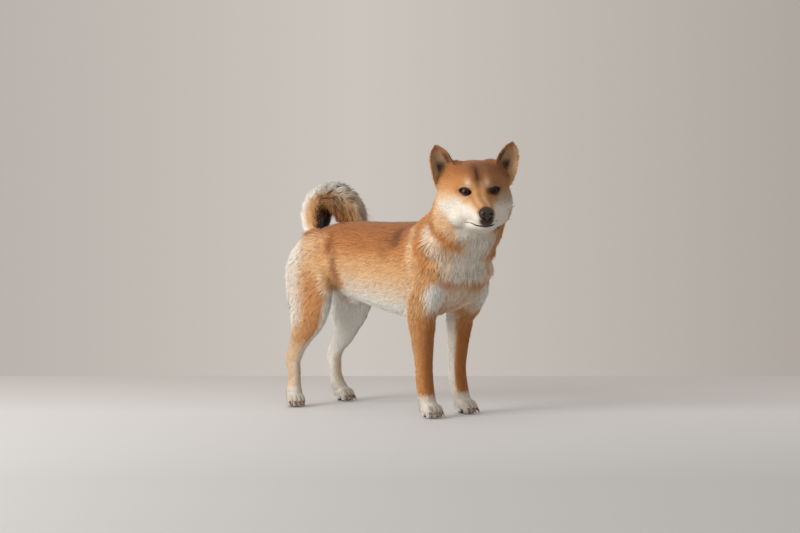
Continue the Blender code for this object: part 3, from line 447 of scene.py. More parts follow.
class Skin:
    """The skin's arrays, with the lie, length and colour of the coat at each point."""

    def __init__(self):
        self.points, self.tris, self.owner, self.names = skin_arrays()
        self.edges = self.find_edges()
        share = np.zeros((len(self.points), len(self.names)))
        share[np.arange(len(self.points)), self.owner] = 1
        self.share = self.relaxed(share, 10)
        self.points = self.softened()
        self.normals = point_normals(self.points, self.tris)
        self.length, self.lift = self.coat_sizes()
        self.lie = self.coat_lie()
        self.inset = SINK_SHARE * self.length * np.sin(self.lift)
        self.inset = self.relaxed(self.inset[:, None], 12)[:, 0]
        self.surface = self.points - self.normals * self.inset[:, None]
        self.colour = markings(self.points, self.normals, self)

    def find_edges(self):
        """The skin's edges, each once, as pairs of points."""
        pairs = np.concatenate([self.tris[:, [0, 1]], self.tris[:, [1, 2]], self.tris[:, [2, 0]]])
        return np.unique(np.sort(pairs, axis=1), axis=0)

    def relaxed(self, values, rounds):
        """Values spread along the skin by that many rounds of averaging with the neighbours."""
        a, b = self.edges.T
        count = len(self.points)
        degree = np.bincount(a, minlength=count) + np.bincount(b, minlength=count)
        for _ in range(rounds):
            spread = np.empty_like(values)
            for k in range(values.shape[1]):
                column = values[:, k]
                total = np.bincount(a, column[b], count) + np.bincount(b, column[a], count)
                spread[:, k] = 0.3 * column + 0.7 * total / np.maximum(degree, 1)
            values = spread
        return values

    def softened(self):
        """The points with the melt's steps smoothed out, least on the ears, most at the neck's ends."""
        tip = ramp(in_head(self.points)[:, 2], EAR_TIP.z - 0.020, EAR_TIP.z - 0.006)
        thin = (ramp(self.part("ear"), 0.2, 0.7) * (1 - 0.8 * tip))[:, None]
        neck = self.relaxed(self.part("neck")[:, None], NECK_SPREAD)
        meeting = ramp(4 * neck * (1 - neck), 0.15, 0.75) * (1 - thin)
        plain = thin * self.relaxed(self.points, 1) + (1 - thin) * self.relaxed(self.points, 5)
        return plain * (1 - meeting) + self.relaxed(self.points, NECK_SPREAD) * meeting

    def part(self, *names):
        """How much each point belongs to the nodes whose names start with one of these words."""
        columns = [i for i, name in enumerate(self.names) if name.startswith(names)]
        return self.share[:, columns].sum(axis=1)

    def coat_sizes(self):
        """The coat's length in metres and its lift from the skin in radians."""
        p, n = self.points, self.normals
        h = in_head(p)
        torso = 0.015 + 0.004 * ramp(p[:, 2], 0.30, 0.36)
        torso += 0.003 * ramp(p[:, 0], 0.18, 0.24) + 0.006 * ramp(p[:, 0], -0.14, -0.19)
        neck = 0.018 + 0.002 * ramp(n[:, 0], 0.0, 0.8)
        back = ramp(h[:, 0], 0.045, -0.03)
        low = ramp(h[:, 2], 0.02, -0.03)
        head = 0.0042 + 0.0045 * back + 0.010 * back * low
        rear = ramp(n[:, 0], -0.1, -0.8)
        up = ramp(p[:, 2], 0.14, 0.22)
        cup = ramp(ahead_of_face(n), 0.25, 0.6)
        ear_tip = ramp(h[:, 2], EAR_TIP.z - 0.022, EAR_TIP.z - 0.004)
        hind = 0.0075 + 0.008 * up + 0.014 * rear * up
        front = 0.0075 + 0.007 * up + 0.006 * rear * ramp(p[:, 2], 0.06, 0.12)
        table = (
            (("torso",), torso, 17),
            (("neck",), neck, 17),
            (("head", "lower_jaw"), head, 18),
            (("ear",), (0.0052 + 0.0015 * cup) * (1 - 0.5 * ear_tip), 15),
            (("leg_hind",), hind, 16),
            (("leg_front",), front, 16),
            (("paw",), 0.0062 + 0 * head, 16),
            (("tail",), 0.010 + 0 * head, 10),
        )
        length = sum(self.part(*names) * size for names, size, _ in table)
        lift = sum(self.part(*names) * math.radians(angle) for names, _, angle in table)
        return length, lift

    def coat_lie(self):
        """The direction that the coat points in, along the skin."""
        p, n = self.points, self.normals
        ones = np.ones(len(p))
        chest = ramp(p[:, 0], 0.16, 0.23)[:, None]
        rump = ramp(p[:, 0], -0.12, -0.18)[:, None]
        torso = np.array([-1.0, 0, -0.38]) * (1 - chest) + np.array([-0.1, 0, -1.0]) * chest
        torso = torso * (1 - rump) + np.array([-0.55, 0, -0.85]) * rump
        front = ramp(n[:, 0], -0.3, 0.6)[:, None]
        neck = np.array([-0.85, 0, -0.60]) * (1 - front) + np.array([-0.25, 0, -1.0]) * front
        local = in_head(p) - np.array(NOSE_CENTRE) - np.array([0.01, 0, 0])
        local[:, 2] *= 0.75
        head = unit(local) @ HEAD_TURN.T
        lie = self.part("torso")[:, None] * unit(torso)
        lie += self.part("neck")[:, None] * unit(neck)
        lie += self.part("head", "lower_jaw")[:, None] * head
        h = in_head(p)
        for side, s in SIDES.items():
            spread = h[:, 1] - s * (EAR_BASE.y + 0.32 * (h[:, 2] - EAR_BASE.z))
            axis = np.column_stack([0.18 * ones, s * 0.3 * ones + spread / 0.022, 1.0 * ones])
            lie += self.part("ear_" + side)[:, None] * unit(unit(axis) @ HEAD_TURN.T)
        lie += self.part("leg_front")[:, None] * unit(np.array([[-0.25, 0, -1.0]]))
        thigh = ramp(p[:, 2], 0.16, 0.24)[:, None]
        hind = unit(np.array([-0.65, 0, -0.8]) * thigh + np.array([-0.15, 0, -1.0]) * (1 - thigh))
        lie += self.part("leg_hind")[:, None] * hind
        for name, place in STANCE.items():
            turn = math.radians(place["turn"])
            ahead = np.array([[math.cos(turn), math.sin(turn), -0.55]])
            lie += self.part("paw_" + name)[:, None] * unit(ahead)
        tangent = tail_frame(self.tail_share(p))[0]
        lie += self.part("tail")[:, None] * tangent
        lie = self.relaxed(lie, 14)
        lie -= n * (lie * n).sum(axis=1)[:, None]
        return unit(lie)

    def tail_share(self, points):
        """How far along the tail each point is, by the angle round the curl."""
        offset = points - np.array(TAIL_CENTRE)
        angle = np.arctan2(offset[:, 2], offset[:, 0])
        angle = np.where(angle < TAIL_TO - 0.35, angle + 2 * np.pi, angle)
        return np.clip((angle - TAIL_FROM) / (TAIL_TO - TAIL_FROM), 0, 1)


# The markings
MAHOGANY = srgb(134, 82, 48)
DEEP = srgb(172, 108, 58)
RED = srgb(196, 132, 76)
SAND = srgb(214, 162, 110)
TAN = srgb(226, 184, 138)
CREAM = srgb(234, 214, 190)
WHITE = srgb(240, 231, 218)
PALE = srgb(252, 245, 234)
BROWN = srgb(104, 64, 40)
DARK = srgb(52, 32, 24)
SKIN_DARK = srgb(38, 26, 22)
FLANK_SHADES = ((0.00, PALE), (0.16, CREAM), (0.36, TAN), (0.52, SAND), (0.68, RED), (0.90, DEEP))
# Painted shade in each eye's socket and inner corner, by side
SOCKET_PAINTED_SHADE = {1: 0.85, -1: 0.35}
# Painted shadow round each eye, by side: only the left eye has it
EYE_PAINTED_SHADOW = {1: 0.85, -1: 0.0}
# How strongly painted shade darkens the left side of the face
LEFT_FACE_PAINTED_SHADE = 0.42
TAIL_SHADES = ((-0.60, RED), (-0.30, SAND), (-0.08, TAN), (0.16, CREAM), (0.40, PALE))
LATE_TAIL_SHADES = ((-0.60, DEEP), (-0.10, RED), (0.25, SAND), (0.55, TAN), (0.85, CREAM))
NOSE_TONES = (srgb(36, 22, 17), srgb(55, 35, 27))
HORN = srgb(112, 82, 62)
IRIS_EDGE = srgb(52, 30, 22)
IRIS = srgb(76, 40, 22)
PUPIL = srgb(8, 6, 6)
IRIS_RING = srgb(20, 14, 12)
EAR_FUR = srgb(196, 160, 130)
EAR_WIDTHS = ((0.0, 0.035, 0.065), (0.026, 0.018, 0.005))
CHEEK_EDGE = (
    (0.000, 0.030, 0.045, 0.056, 0.080, 0.095),
    (-0.004, -0.001, -0.009, -0.015, -0.021, -0.028),
)


def over(base, colour, mask):
    """The base with a colour laid over it where the mask is 1."""
    mask = np.clip(mask, 0, 1)[:, None]
    return base * (1 - mask) + np.asarray(colour) * mask


def blended(one, other, share):
    """A colour between two."""
    return one * (1 - share) + other * share


def graded(values, shades):
    """Colours along a scale of (value, colour) rows."""
    levels = [level for level, _ in shades]
    channels = zip(*(colour for _, colour in shades))
    return np.column_stack([np.interp(values, levels, channel) for channel in channels])


def stripe(p, line, half_width):
    """1 along a line of (x, z) points, on both sides of the body, falling to 0 past its half width."""
    flat = p[:, [0, 2]]
    best = np.full(len(p), 1.0)
    for a, b in zip(line, line[1:]):
        a, step = np.array(a), np.subtract(b, a)
        t = np.clip(((flat - a) @ step) / (step @ step), 0, 1)
        best = np.minimum(best, np.linalg.norm(flat - a - t[:, None] * step, axis=1))
    return ramp(best, 1.6 * half_width, 0.4 * half_width)


def facing(n, azimuth):
    """How far round, in degrees, each normal is turned from the azimuth."""
    around = np.degrees(np.arctan2(n[:, 1], n[:, 0])) - azimuth
    return np.abs((around + 180) % 360 - 180)


def body_markings(p):
    """The coat's colours on the trunk and the neck."""
    x, y, z = p.T
    ay = np.abs(y)
    belly = np.interp(x, [-0.12, -0.06, 0.05, 0.15, 0.20], [0.225, 0.238, 0.222, 0.204, 0.204])
    c = graded((z - belly) / (0.387 - belly), FLANK_SHADES)
    # the back's brown patches, and painted shade in the fold in front of the thigh
    side = ramp(ay, 0.02, 0.045)
    c = over(c, DEEP, blob(p, (0.020, 0, 0.352), (0.070, 0.2, 0.022), 0.6) * 0.6)
    c = over(c, MAHOGANY, blob(p, (0.086, 0, 0.344), (0.020, 0.2, 0.026), 0.7) * side * 0.45)
    c = over(c, MAHOGANY, blob(p, (0.113, 0, 0.362), (0.018, 0.2, 0.022), 0.7) * side * 0.95)
    c = over(c, BROWN, blob(p, (0.113, 0, 0.358), (0.011, 0.2, 0.018), 0.7) * side * 0.55)
    fold_shade = blob(p, (-0.090, 0, 0.342), (0.012, 0.2, 0.020), 0.8) * 0.9
    fold_shade = np.maximum(fold_shade, blob(p, (-0.074, 0, 0.294), (0.013, 0.2, 0.036), 0.8) * 0.85)
    # rump and thigh
    above = ramp(z, 0.240, 0.268)
    c = over(c, blended(TAN, CREAM, 0.2), ramp(x, -0.095, -0.140) * ramp(z, 0.374, 0.350) * above * 0.85)
    c = over(c, WHITE, ramp(x, -0.142, -0.176) * ramp(z, 0.37, 0.34) * above)
    c = over(c, MAHOGANY, blob(p, (-0.103, 0, 0.239), (0.012, 0.024, 0.010), 0.5) * 0.85)
    loin = ramp(x, -0.040, -0.066) * ramp(x, -0.105, -0.085) * ramp(z, 0.238, 0.256) * ramp(z, 0.31, 0.28)
    c = over(c, SAND, loin * side)
    # painted shade in the fold in front of the thigh
    c = over(c, MAHOGANY, fold_shade * side * 0.95)
    # shoulder and neck bands
    shoulder = ramp(x, 0.150, 0.172)
    c = over(c, SAND, shoulder * ramp(z, 0.345, 0.310))
    c = over(c, RED, shoulder * ramp(z, 0.310, 0.345))
    c = over(c, TAN, stripe(p, [(0.158, 0.378), (0.163, 0.322), (0.178, 0.270)], 0.010) * side * 0.85)
    c = over(c, RED, stripe(p, [(0.186, 0.385), (0.196, 0.340), (0.215, 0.300)], 0.010) * side * 0.8)
    c = over(c, CREAM, stripe(p, [(0.207, 0.376), (0.242, 0.330), (0.256, 0.286)], 0.012) * side * 0.8)
    return c


def chest_markings(c, p, n, skin):
    """The white of throat and chest, a red bar across it and pale patches on the shoulder points."""
    x, y, z = p.T
    front = skin.part("neck", "torso", "leg_front")
    throat = facing(n, -9) - np.interp(z, [0.27, 0.36], [28, 25])
    upper = ramp(z, 0.262, 0.285) * ramp(x, 0.20, 0.225) * front
    c = over(c, blended(TAN, CREAM, 0.5), ramp(throat, 15, -7) * upper * 0.9)
    c = over(c, WHITE, ramp(throat, 6, -16) * upper * 0.95)
    low = facing(n, -8) - 48
    chest = ramp(low, 12, -16) * ramp(z, 0.285, 0.262) * ramp(z, 0.200, 0.225) * ramp(x, 0.165, 0.19)
    c = over(c, CREAM, chest * front * 0.9)
    bar = np.exp(-(((z - 0.269) / 0.010) ** 2)) * ramp(x, 0.20, 0.22)
    c = over(c, RED, bar * front * (0.5 + 0.35 * ramp(np.abs(y + 0.025), 0.004, 0.030)))
    for s in SIDES.values():
        point = blob(p, (0.226, s * 0.074, 0.246), (0.024, 0.022, 0.026), 0.5)
        c = over(c, PALE, point * front)
    keel = blob(p, (0.21, 0, 0.225), (0.04, 0.012, 0.035), 0.7)
    return over(c, SAND, keel * front * 0.5)


def toe_gaps(p, name, place):
    """1 along the lines between a paw's toes, on top and in front, where shade is painted."""
    kind = name.split("_")[0]
    turn = math.radians(place["turn"])
    rel = p[:, :2] - np.array(place["paw"])
    ahead = rel @ np.array([math.cos(turn), math.sin(turn)])
    aside = rel @ np.array([-math.sin(turn), math.cos(turn)])
    gaps = np.zeros(len(p))
    for left, right in zip(TOES, TOES[1:]):
        middle = 0.5 * (left + right) * TOE_STEP * PAW_HALF_WIDTH[kind]
        gaps = np.maximum(gaps, np.exp(-(((aside - middle) / TOE_GAP) ** 2)))
    return gaps * ramp(ahead, 0.004, 0.013) * ramp(p[:, 2], 0.030, 0.020)


def leg_markings(c, p, n, skin):
    """The legs' colours: red outside, white inside and on the paws."""
    z = p[:, 2]
    for name, place in STANCE.items():
        s = SIDES[name.split("_")[1]]
        leg = skin.part("leg_" + name)
        if name.startswith("front"):
            inner = ramp(facing(n, -105 * s), 46, 24)
            low = ramp(z, 0.23, 0.19)
            c = over(c, SAND, leg * low * (1 - inner))
            c = over(c, RED, leg * ramp(n[:, 0], -0.30, 0.35) * low * (1 - inner) * 0.9)
            c = over(c, DEEP, leg * ramp(n[:, 0], 0.35, 0.85) * ramp(z, 0.20, 0.16) * (1 - inner) * 0.7)
            rear = ramp(n[:, 0], -0.45, -0.85) * ramp(z, 0.16, 0.10)
            c = over(c, CREAM, leg * rear * 0.85)
            c = over(c, WHITE, leg * inner * ramp(z, 0.22, 0.18))
        else:
            inner = ramp(-s * n[:, 1], 0.0, 0.45)
            inner = np.maximum(inner, ramp(facing(n, -60 * s), 102, 76) * ramp(z, 0.240, 0.215))
            c = over(c, TAN, leg * (1 - inner) * ramp(z, 0.33, 0.28))
            c = over(c, RED, leg * (1 - inner) * ramp(n[:, 0], -0.4, 0.3) * ramp(z, 0.33, 0.26) * 0.8)
            rear = ramp(n[:, 0], 0.22, -0.26) * ramp(z, 0.15, 0.20)
            c = over(c, WHITE, leg * rear * (1 - 0.5 * inner) * 0.9)
            c = over(c, PALE, leg * inner)
            c = over(c, blended(TAN, CREAM, 0.4), leg * ramp(z, 0.15, 0.12) * (1 - inner))
            c = over(c, RED, leg * ramp(n[:, 0], -0.45, -0.85) * ramp(z, 0.16, 0.13) * 0.8)
            c = over(c, CREAM, leg * ramp(n[:, 0], 0.2, 0.8) * ramp(z, 0.12, 0.09))
        c = over(c, WHITE, leg * ramp(z, 0.052, 0.030))
        paw = skin.part("paw_" + name)
        c = over(c, WHITE, paw)
        # painted shade in the gaps between the toes
        c = over(c, MAHOGANY, paw * toe_gaps(p, name, place) * 0.75)
        pad = paw * ramp(n[:, 2], -0.35, -0.7) * ramp(z, 0.012, 0.006)
        c = over(c, SKIN_DARK, pad)
    return c


def almond(h, side):
    """1 within the dark, pointed outline of an eye's lids, given in the head's frame."""
    centre, _, along, up = eye_frame(side)
    rel = h - centre
    u, v = rel @ along, rel @ up
    room = LID_REACH[1] * np.maximum(1 - (u / LID_REACH[0]) ** 2, 0)
    inside = ramp(np.abs(v) - room, 0.0010, -0.0010) * ramp(np.abs(u), LID_REACH[0], 0.9 * LID_REACH[0])
    return inside * ramp(h[:, 0], 0.02, 0.03)


def head_markings(c, p, skin):
    """The face: red crown, dark furrow, cream brows, white cheeks, muzzle sides and throat, with painted
    shade round the eyes and on the face's left side.
    """
    h = in_head(p)
    x, y, z = h.T
    middle = -0.0060 * ramp(z, -0.020, 0.010)
    from_middle = np.abs(y - middle)
    ay = np.abs(y)
    head = skin.part("head", "lower_jaw")
    face = np.tile(RED, (len(p), 1))
    # crown and furrow
    crown = ramp(z, 0.030, 0.058)
    face = over(face, DEEP, crown * 0.75)
    face = over(face, MAHOGANY, blob(h, (0.030, 0, 0.056), (0.030, 0.040, 0.012), 0.7) * 0.4)
    brow_middle = ramp(from_middle, 0.020, 0.006) * ramp(z, 0.020, 0.034) * ramp(x, 0.01, 0.03)
    face = over(face, MAHOGANY, brow_middle * 0.7)
    furrow = ramp(from_middle, 0.0095, 0.0005) * ramp(z, 0.008, 0.022) * ramp(z, 0.072, 0.054)
    face = over(face, BROWN, furrow * 0.8)
    crease = ramp(from_middle, 0.0055, 0.0005) * ramp(z, 0.010, 0.022) * ramp(z, 0.062, 0.050)
    face = over(face, DARK, crease * 0.7)
    # side of the head
    face = over(face, SAND, ramp(ay, 0.040, 0.062) * ramp(z, 0.045, 0.015) * 0.8)
    face = over(face, TAN, ramp(ay, 0.048, 0.066) * ramp(z, 0.024, 0.0) * 0.9)
    # cheeks and muzzle sides
    edge = np.interp(x, CHEEK_EDGE[0], CHEEK_EDGE[1])
    cheek = ramp(z, edge + 0.010, edge - 0.010) * ramp(ay, 0.006, 0.015)
    pale = ramp(z, edge + 0.022, edge + 0.004) * ramp(ay, 0.014, 0.026) * ramp(x, -0.02, 0.01)
    face = over(face, blended(TAN, CREAM, 0.35), pale * 0.85)
    behind = x + 0.55 * np.minimum(z + 0.010, 0)
    cheek *= ramp(behind, -0.016, 0.014)
    face = over(face, WHITE, cheek)
    under_eye = blob(h, (0.052, 0, -0.0075), (0.012, 0.045, 0.0045), 0.6) * ramp(ay, 0.020, 0.026)
    face = over(face, SAND, under_eye * 0.45)
    face = over(face, TAN, ramp(behind, 0.010, -0.014) * ramp(z, 0.0, -0.02) * 0.8)
    face = over(face, WHITE, ramp(z, -0.044, -0.054) * ramp(x, -0.03, 0.0) * ramp(ay, 0.050, 0.032))
    # painted shade on the left side of the face
    left = ramp(y, 0.006, 0.030) * ramp(z, -0.022, -0.004)
    face = over(face, MAHOGANY, left * LEFT_FACE_PAINTED_SHADE)
    # brows; painted shade in the sockets and at the eyes' inner corners, a painted shadow round the left
    # eye, the dark lids; and the bridge
    for s in SIDES.values():
        off = y - middle - s * 0.0185
        brow = np.exp(-((off / 0.0058) ** 2) - (((z - 0.0270) / 0.0090) ** 2)) * ramp(x, 0.02, 0.04)
        face = over(face, CREAM, brow * 0.75)
        line = np.exp(-(((z - 0.0235 + 0.06 * np.abs(off)) / 0.0030) ** 2)) * ramp(ay, 0.044, 0.036)
        face = over(face, TAN, line * ramp(ay, 0.012, 0.020) * ramp(x, 0.02, 0.04) * 0.4)
        # painted shade under the brow, in the socket and at the inner corner
        socket = blob(h, (0.047, s * 0.0285, 0.014), (0.018, 0.0180, 0.0110), 0.6)
        face = over(face, BROWN, socket * SOCKET_PAINTED_SHADE[s])
        corner = blob(h, (0.052, s * 0.0140, 0.0070), (0.012, 0.0065, 0.0040), 0.6)
        face = over(face, BROWN, corner * SOCKET_PAINTED_SHADE[s])
        # painted shadow round the left eye
        eye_shadow = blob(h, (0.050, s * 0.0215, 0.0105), (0.020, 0.0170, 0.0075), 0.4)
        face = over(face, DARK, eye_shadow * EYE_PAINTED_SHADOW[s])
        face = over(face, DARK, almond(h, s) * 0.95)
    bridge = ramp(x, 0.055, 0.066) * ramp(from_middle, 0.018, 0.008) * ramp(z, -0.040, -0.020)
    face = over(face, SAND, bridge)
    face = over(face, TAN, bridge * np.exp(-(((from_middle - 0.0085) / 0.0040) ** 2)) * 0.45)
    face = over(face, DEEP, bridge * ramp(from_middle, 0.0065, 0.0015) * 0.5)
    # dark skin round the nose; below it, down to the lips, dark lip skin together with painted shadow under
    # the nose
    face = over(face, DARK, blob(h, (0.098, 0, -0.031), (0.0155, 0.0165, 0.0140), 0.25) * 0.95)
    face = over(face, DARK, blob(h, (0.102, 0.0000, -0.047), (0.016, 0.0155, 0.0110), 0.30) * 0.95)
    return over(c, face, head)


def ear_markings(c, p, n, skin):
    """The ears: red backs, brown tips, pale fur in front, and painted shade along the inner rims and in the
    hollow.
    """
    ear = skin.part("ear")
    ahead = ahead_of_face(n)
    h = in_head(p)
    ay = np.abs(h[:, 1])
    c = over(c, RED, ear)
    c = over(c, DEEP, ear * ramp(h[:, 2], 0.080, 0.105) * 0.4)
    cup = ear * ramp(ahead, 0.25, 0.6)
    front = ear * ramp(ahead, -0.1, 0.3)
    height = h[:, 2] - EAR_BASE.z
    across = (ay - EAR_BASE.y - 0.003 - 0.30 * height) / np.interp(height, EAR_WIDTHS[0], EAR_WIDTHS[1])
    c = over(c, SAND, cup * 0.6)
    c = over(c, EAR_FUR, cup * ramp(np.abs(across), 0.95, 0.55) * 0.9)
    c = over(c, TAN, front * ramp(across, 0.40, 0.75) * ramp(height, 0.040, 0.015) * 0.8)
    # painted shade along the inner rim, by the crown
    c = over(c, BROWN, front * ramp(across, -0.50, -0.80) * ramp(height, 0.058, 0.040) * 0.9)
    c = over(c, DEEP, ear * ramp(height, 0.046, 0.060) * 0.8)
    # painted shade in the hollow at the foot of the cup
    shaded_hollow = ramp(np.abs(across + 0.15), 0.60, 0.25) * ramp(height, 0.036, 0.020)
    return over(c, DARK, front * shaded_hollow * 0.95)


def markings(p, n, skin):
    """The colour of skin and coat at each point, from its place and facing."""
    c = body_markings(p)
    c = leg_markings(c, p, n, skin)
    c = chest_markings(c, p, n, skin)
    c = head_markings(c, p, skin)
    c = ear_markings(c, p, n, skin)
    return over(c, SAND, skin.part("tail"))


# The coat
def scattered(skin, density):
    """Roots scattered over the skin by their density per square metre, as triangles and weights in them."""
    corners = skin.surface[skin.tris]
    one, other = corners[:, 1] - corners[:, 0], corners[:, 2] - corners[:, 0]
    area = 0.5 * np.linalg.norm(np.cross(one, other), axis=1)
    wanted = area * density[skin.tris].mean(axis=1) * COAT_SHARE
    total = int(wanted.sum())
    chosen = np.searchsorted(np.cumsum(wanted), RNG.uniform(0, wanted.sum(), total))
    chosen = np.clip(chosen, 0, len(area) - 1)
    a, b = RNG.uniform(size=(2, total))
    flip = a + b > 1
    a[flip], b[flip] = 1 - a[flip], 1 - b[flip]
    return chosen, np.stack([1 - a - b, a, b], axis=1)


def at_roots(values, skin, chosen, weights):
    """Values of the skin's points, blended at the roots."""
    if values.ndim == 1:
        return (values[skin.tris[chosen]] * weights).sum(axis=1)
    return (values[skin.tris[chosen]] * weights[:, :, None]).sum(axis=1)


def tuft_rings(root, normal, lie, length, width, lift, rings, bend, flatness=0.4):
    """Points of tapered tufts, each of a few three-sided rings and a tip."""
    side = unit(np.cross(normal, lie))
    made = []
    for k in range(rings + 1):
        share = k / rings
        rise = np.sin(lift) * share * (1 + bend * (1 - share))
        run = np.cos(lift) * share
        centre = root + lie * (length * run)[:, None] + normal * (length * rise - ROOT_DEPTH)[:, None]
        if k == rings:
            made.append(centre[:, None])
            break
        size = width * (1 - share**1.6) * (0.8 if k == 0 else 1.0)
        up = normal * (size * flatness)[:, None]
        across = side * (0.5 * size)[:, None]
        made.append(np.stack([centre - across, centre + across, centre + up], axis=1))
    return np.concatenate(made, axis=1)


def tuft_faces(rings):
    """The triangles of one tuft, closed at its root."""
    faces = [(0, 2, 1)]
    for k in range(rings - 1):
        low, high = 3 * k, 3 * k + 3
        for i in range(3):
            j = (i + 1) % 3
            faces += [(low + i, low + j, high + j), (low + i, high + j, high + i)]
    last, tip = 3 * (rings - 1), 3 * rings
    for i in range(3):
        faces.append((last + i, last + (i + 1) % 3, tip))
    return np.array(faces)


def add_coat(name, material, verts, colours, normals, uv, rings):
    """One coat piece, from the points, colours, normals and places on the bake map of like tufts."""
    count, each = verts.shape[:2]
    pattern = tuft_faces(rings)
    faces = (np.arange(count)[:, None, None] * each + pattern[None]).reshape(-1, 3)
    obj = mesh_object(name, verts.reshape(-1, 3), faces)
    share = np.repeat(np.linspace(0, 1, rings + 1), [3] * rings + [1])
    if colours.ndim == 2:
        colours = colours[:, None]
    shade = ROOT_SHADE + (TIP_SHADE - ROOT_SHADE) * share
    paint(obj, (colours * shade[None, :, None]).reshape(-1, 3))
    spread = np.column_stack([np.tile([0.0, 1.0, 0.5], rings + 1)[:each], share])
    places = (uv[:, None] + TUFT_PATCH * (spread[None] - 0.5)).reshape(-1, 2)
    bake_map(obj, places[faces.ravel()])
    soft = np.repeat(normals, each, axis=0)
    obj.data.normals_split_custom_set_from_vertices(soft)
    obj.data.materials.append(material)
    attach(obj, "root")
    return obj


def varied(colours, amount):
    """Colours with a random lightness for each row."""
    factor = 1 + RNG.normal(0, amount, len(colours))
    return np.clip(colours * np.clip(factor, 0.6, 1.35)[:, None], 0.004, 0.95)


def atlas(points, owner, names):
    """An unwrap of the body, each part rolled off round its own axis into its own cell of the sheet."""
    cells = 4
    uv = np.empty((len(points), 2))
    for number, name in enumerate(names):
        chosen = owner == number
        if not chosen.any():
            continue
        p = points[chosen]
        middle = 0.5 * (p.min(axis=0) + p.max(axis=0))
        q = p - middle
        if name.startswith(("torso", "head", "lower_jaw")):
            around, along = np.arctan2(q[:, 1], q[:, 2]), q[:, 0]
        else:
            around, along = np.arctan2(q[:, 1], q[:, 0]), q[:, 2]
        span = max(np.ptp(along), 1e-6)
        column, row = number % cells, number // cells
        u = (column + 0.05 + 0.9 * (around / (2 * np.pi) + 0.5)) / cells
        v = (row + 0.05 + 0.9 * (along - along.min()) / span) / cells
        uv[chosen] = np.column_stack([u, v])
    return uv


def coat_layer(skin, name, material, density, width, rings, bend, tint):
    """A layer of tufts over the skin, split into pieces that stay small."""
    chosen, weights = scattered(skin, density)
    per_tuft = len(tuft_faces(rings))
    root = at_roots(skin.surface, skin, chosen, weights)
    normal = unit(at_roots(skin.normals, skin, chosen, weights))
    lie = at_roots(skin.lie, skin, chosen, weights)
    lie = unit(lie + RNG.normal(0, LIE_SPREAD, lie.shape))
    lie = unit(lie - normal * (lie * normal).sum(axis=1)[:, None])
    long = at_roots(skin.length, skin, chosen, weights) * RNG.uniform(*LENGTH_SPREAD, len(root))
    wide = at_roots(width, skin, chosen, weights) * RNG.uniform(*WIDTH_SPREAD, len(root))
    raised = at_roots(skin.lift, skin, chosen, weights) * RNG.uniform(*LIFT_SPREAD, len(root))
    colours = varied(at_roots(skin.colour, skin, chosen, weights), tint)
    owner = skin.owner[skin.tris[chosen, 0]]
    uv = atlas(at_roots(skin.points, skin, chosen, weights), owner, skin.names)
    verts = tuft_rings(root, normal, lie, long, wide, raised, rings, bend)
    pieces = max(1, math.ceil(len(root) * per_tuft / PIECE_TRIANGLES))
    order = np.array_split(np.argsort(root[:, 0], kind="stable"), pieces)
    for number, rows in enumerate(order, 1):
        blend = unit(normal[rows] + 0.25 * lie[rows])
        add_coat(f"{name}_{number}", material, verts[rows], colours[rows], blend, uv[rows], rings)
    print(name, len(root), "tufts", len(root) * per_tuft, "triangles")


def bare_places(skin):
    """How densely the coat grows: 0 on soles, eyes, nose leather and tail, thinner in the ears' cups."""
    h = in_head(skin.points)
    n = skin.normals
    sole = ramp(n[:, 2], -0.2, -0.5) * skin.part("paw")
    eye = np.zeros(len(h))
    for s in SIDES.values():
        eye = np.maximum(eye, almond(h, s))
    nose = blob(h, tuple(NOSE_CENTRE + Vector((0.003, 0, 0))), (0.014, 0.0150, 0.0125), 0.1)
    cup = skin.part("ear") * ramp(ahead_of_face(n), 0.2, 0.6)
    return (1 - sole) * (1 - eye) * (1 - nose) * (1 - 0.1 * cup) * (1 - skin.part("tail"))


def body_coat(skin, material):
    """The coat of the whole body, all but the tail: long tufts, and short ones where the fur is flat."""
    part = skin.part
    h = in_head(skin.points)
    bare = bare_places(skin)
    face = part("head", "lower_jaw") * ramp(h[:, 0], -0.02, 0.03)
    longer = ramp(skin.length, 0.0075, 0.0105)
    thinnest, widest = TUFT_WIDTHS
    width = np.minimum(thinnest + 0.090 * skin.length, widest)
    long_density = (LONG_DENSITY + LONG_DENSITY_HEAD * part("head", "lower_jaw")) * longer * bare
    coat_layer(skin, "coat_long", material, long_density, width, rings=2, bend=0.35, tint=0.10)
    fine_density = FINE_DENSITY + FINE_DENSITY_FACE * (face + part("ear")) + FINE_DENSITY_PAW * part("paw")
    fine_density *= (1 - longer) * bare
    coat_layer(skin, "coat_fine", material, fine_density, width * 1.1, rings=1, bend=0.0, tint=0.15)


def tail_shade(angle, t, share):
    """The tail's colours: pale outside, tan at the sides, and painted shadow inside the curl near its two
    ends.
    """
    level = 0.75 * np.cos(angle)[:, None] + 0.50 * (share - 0.4)[None]
    level = level.ravel()
    t = np.repeat(t, len(share))
    late = ramp(t, 0.58, 0.90)
    colour = over(graded(level, TAIL_SHADES), graded(level, LATE_TAIL_SHADES), late)
    # painted shadow inside the curl, by its root and, less so, by its tip
    shaded_hollow = ramp(t, 0.56, 0.42) + 0.5 * ramp(t, 0.85, 0.95)
    colour = over(colour, BROWN, ramp(level, -0.40, -0.50) * shaded_hollow)
    colour = over(colour, DARK, ramp(level, -0.48, -0.60) * shaded_hollow)
    return colour.reshape(len(angle), len(share), 3)


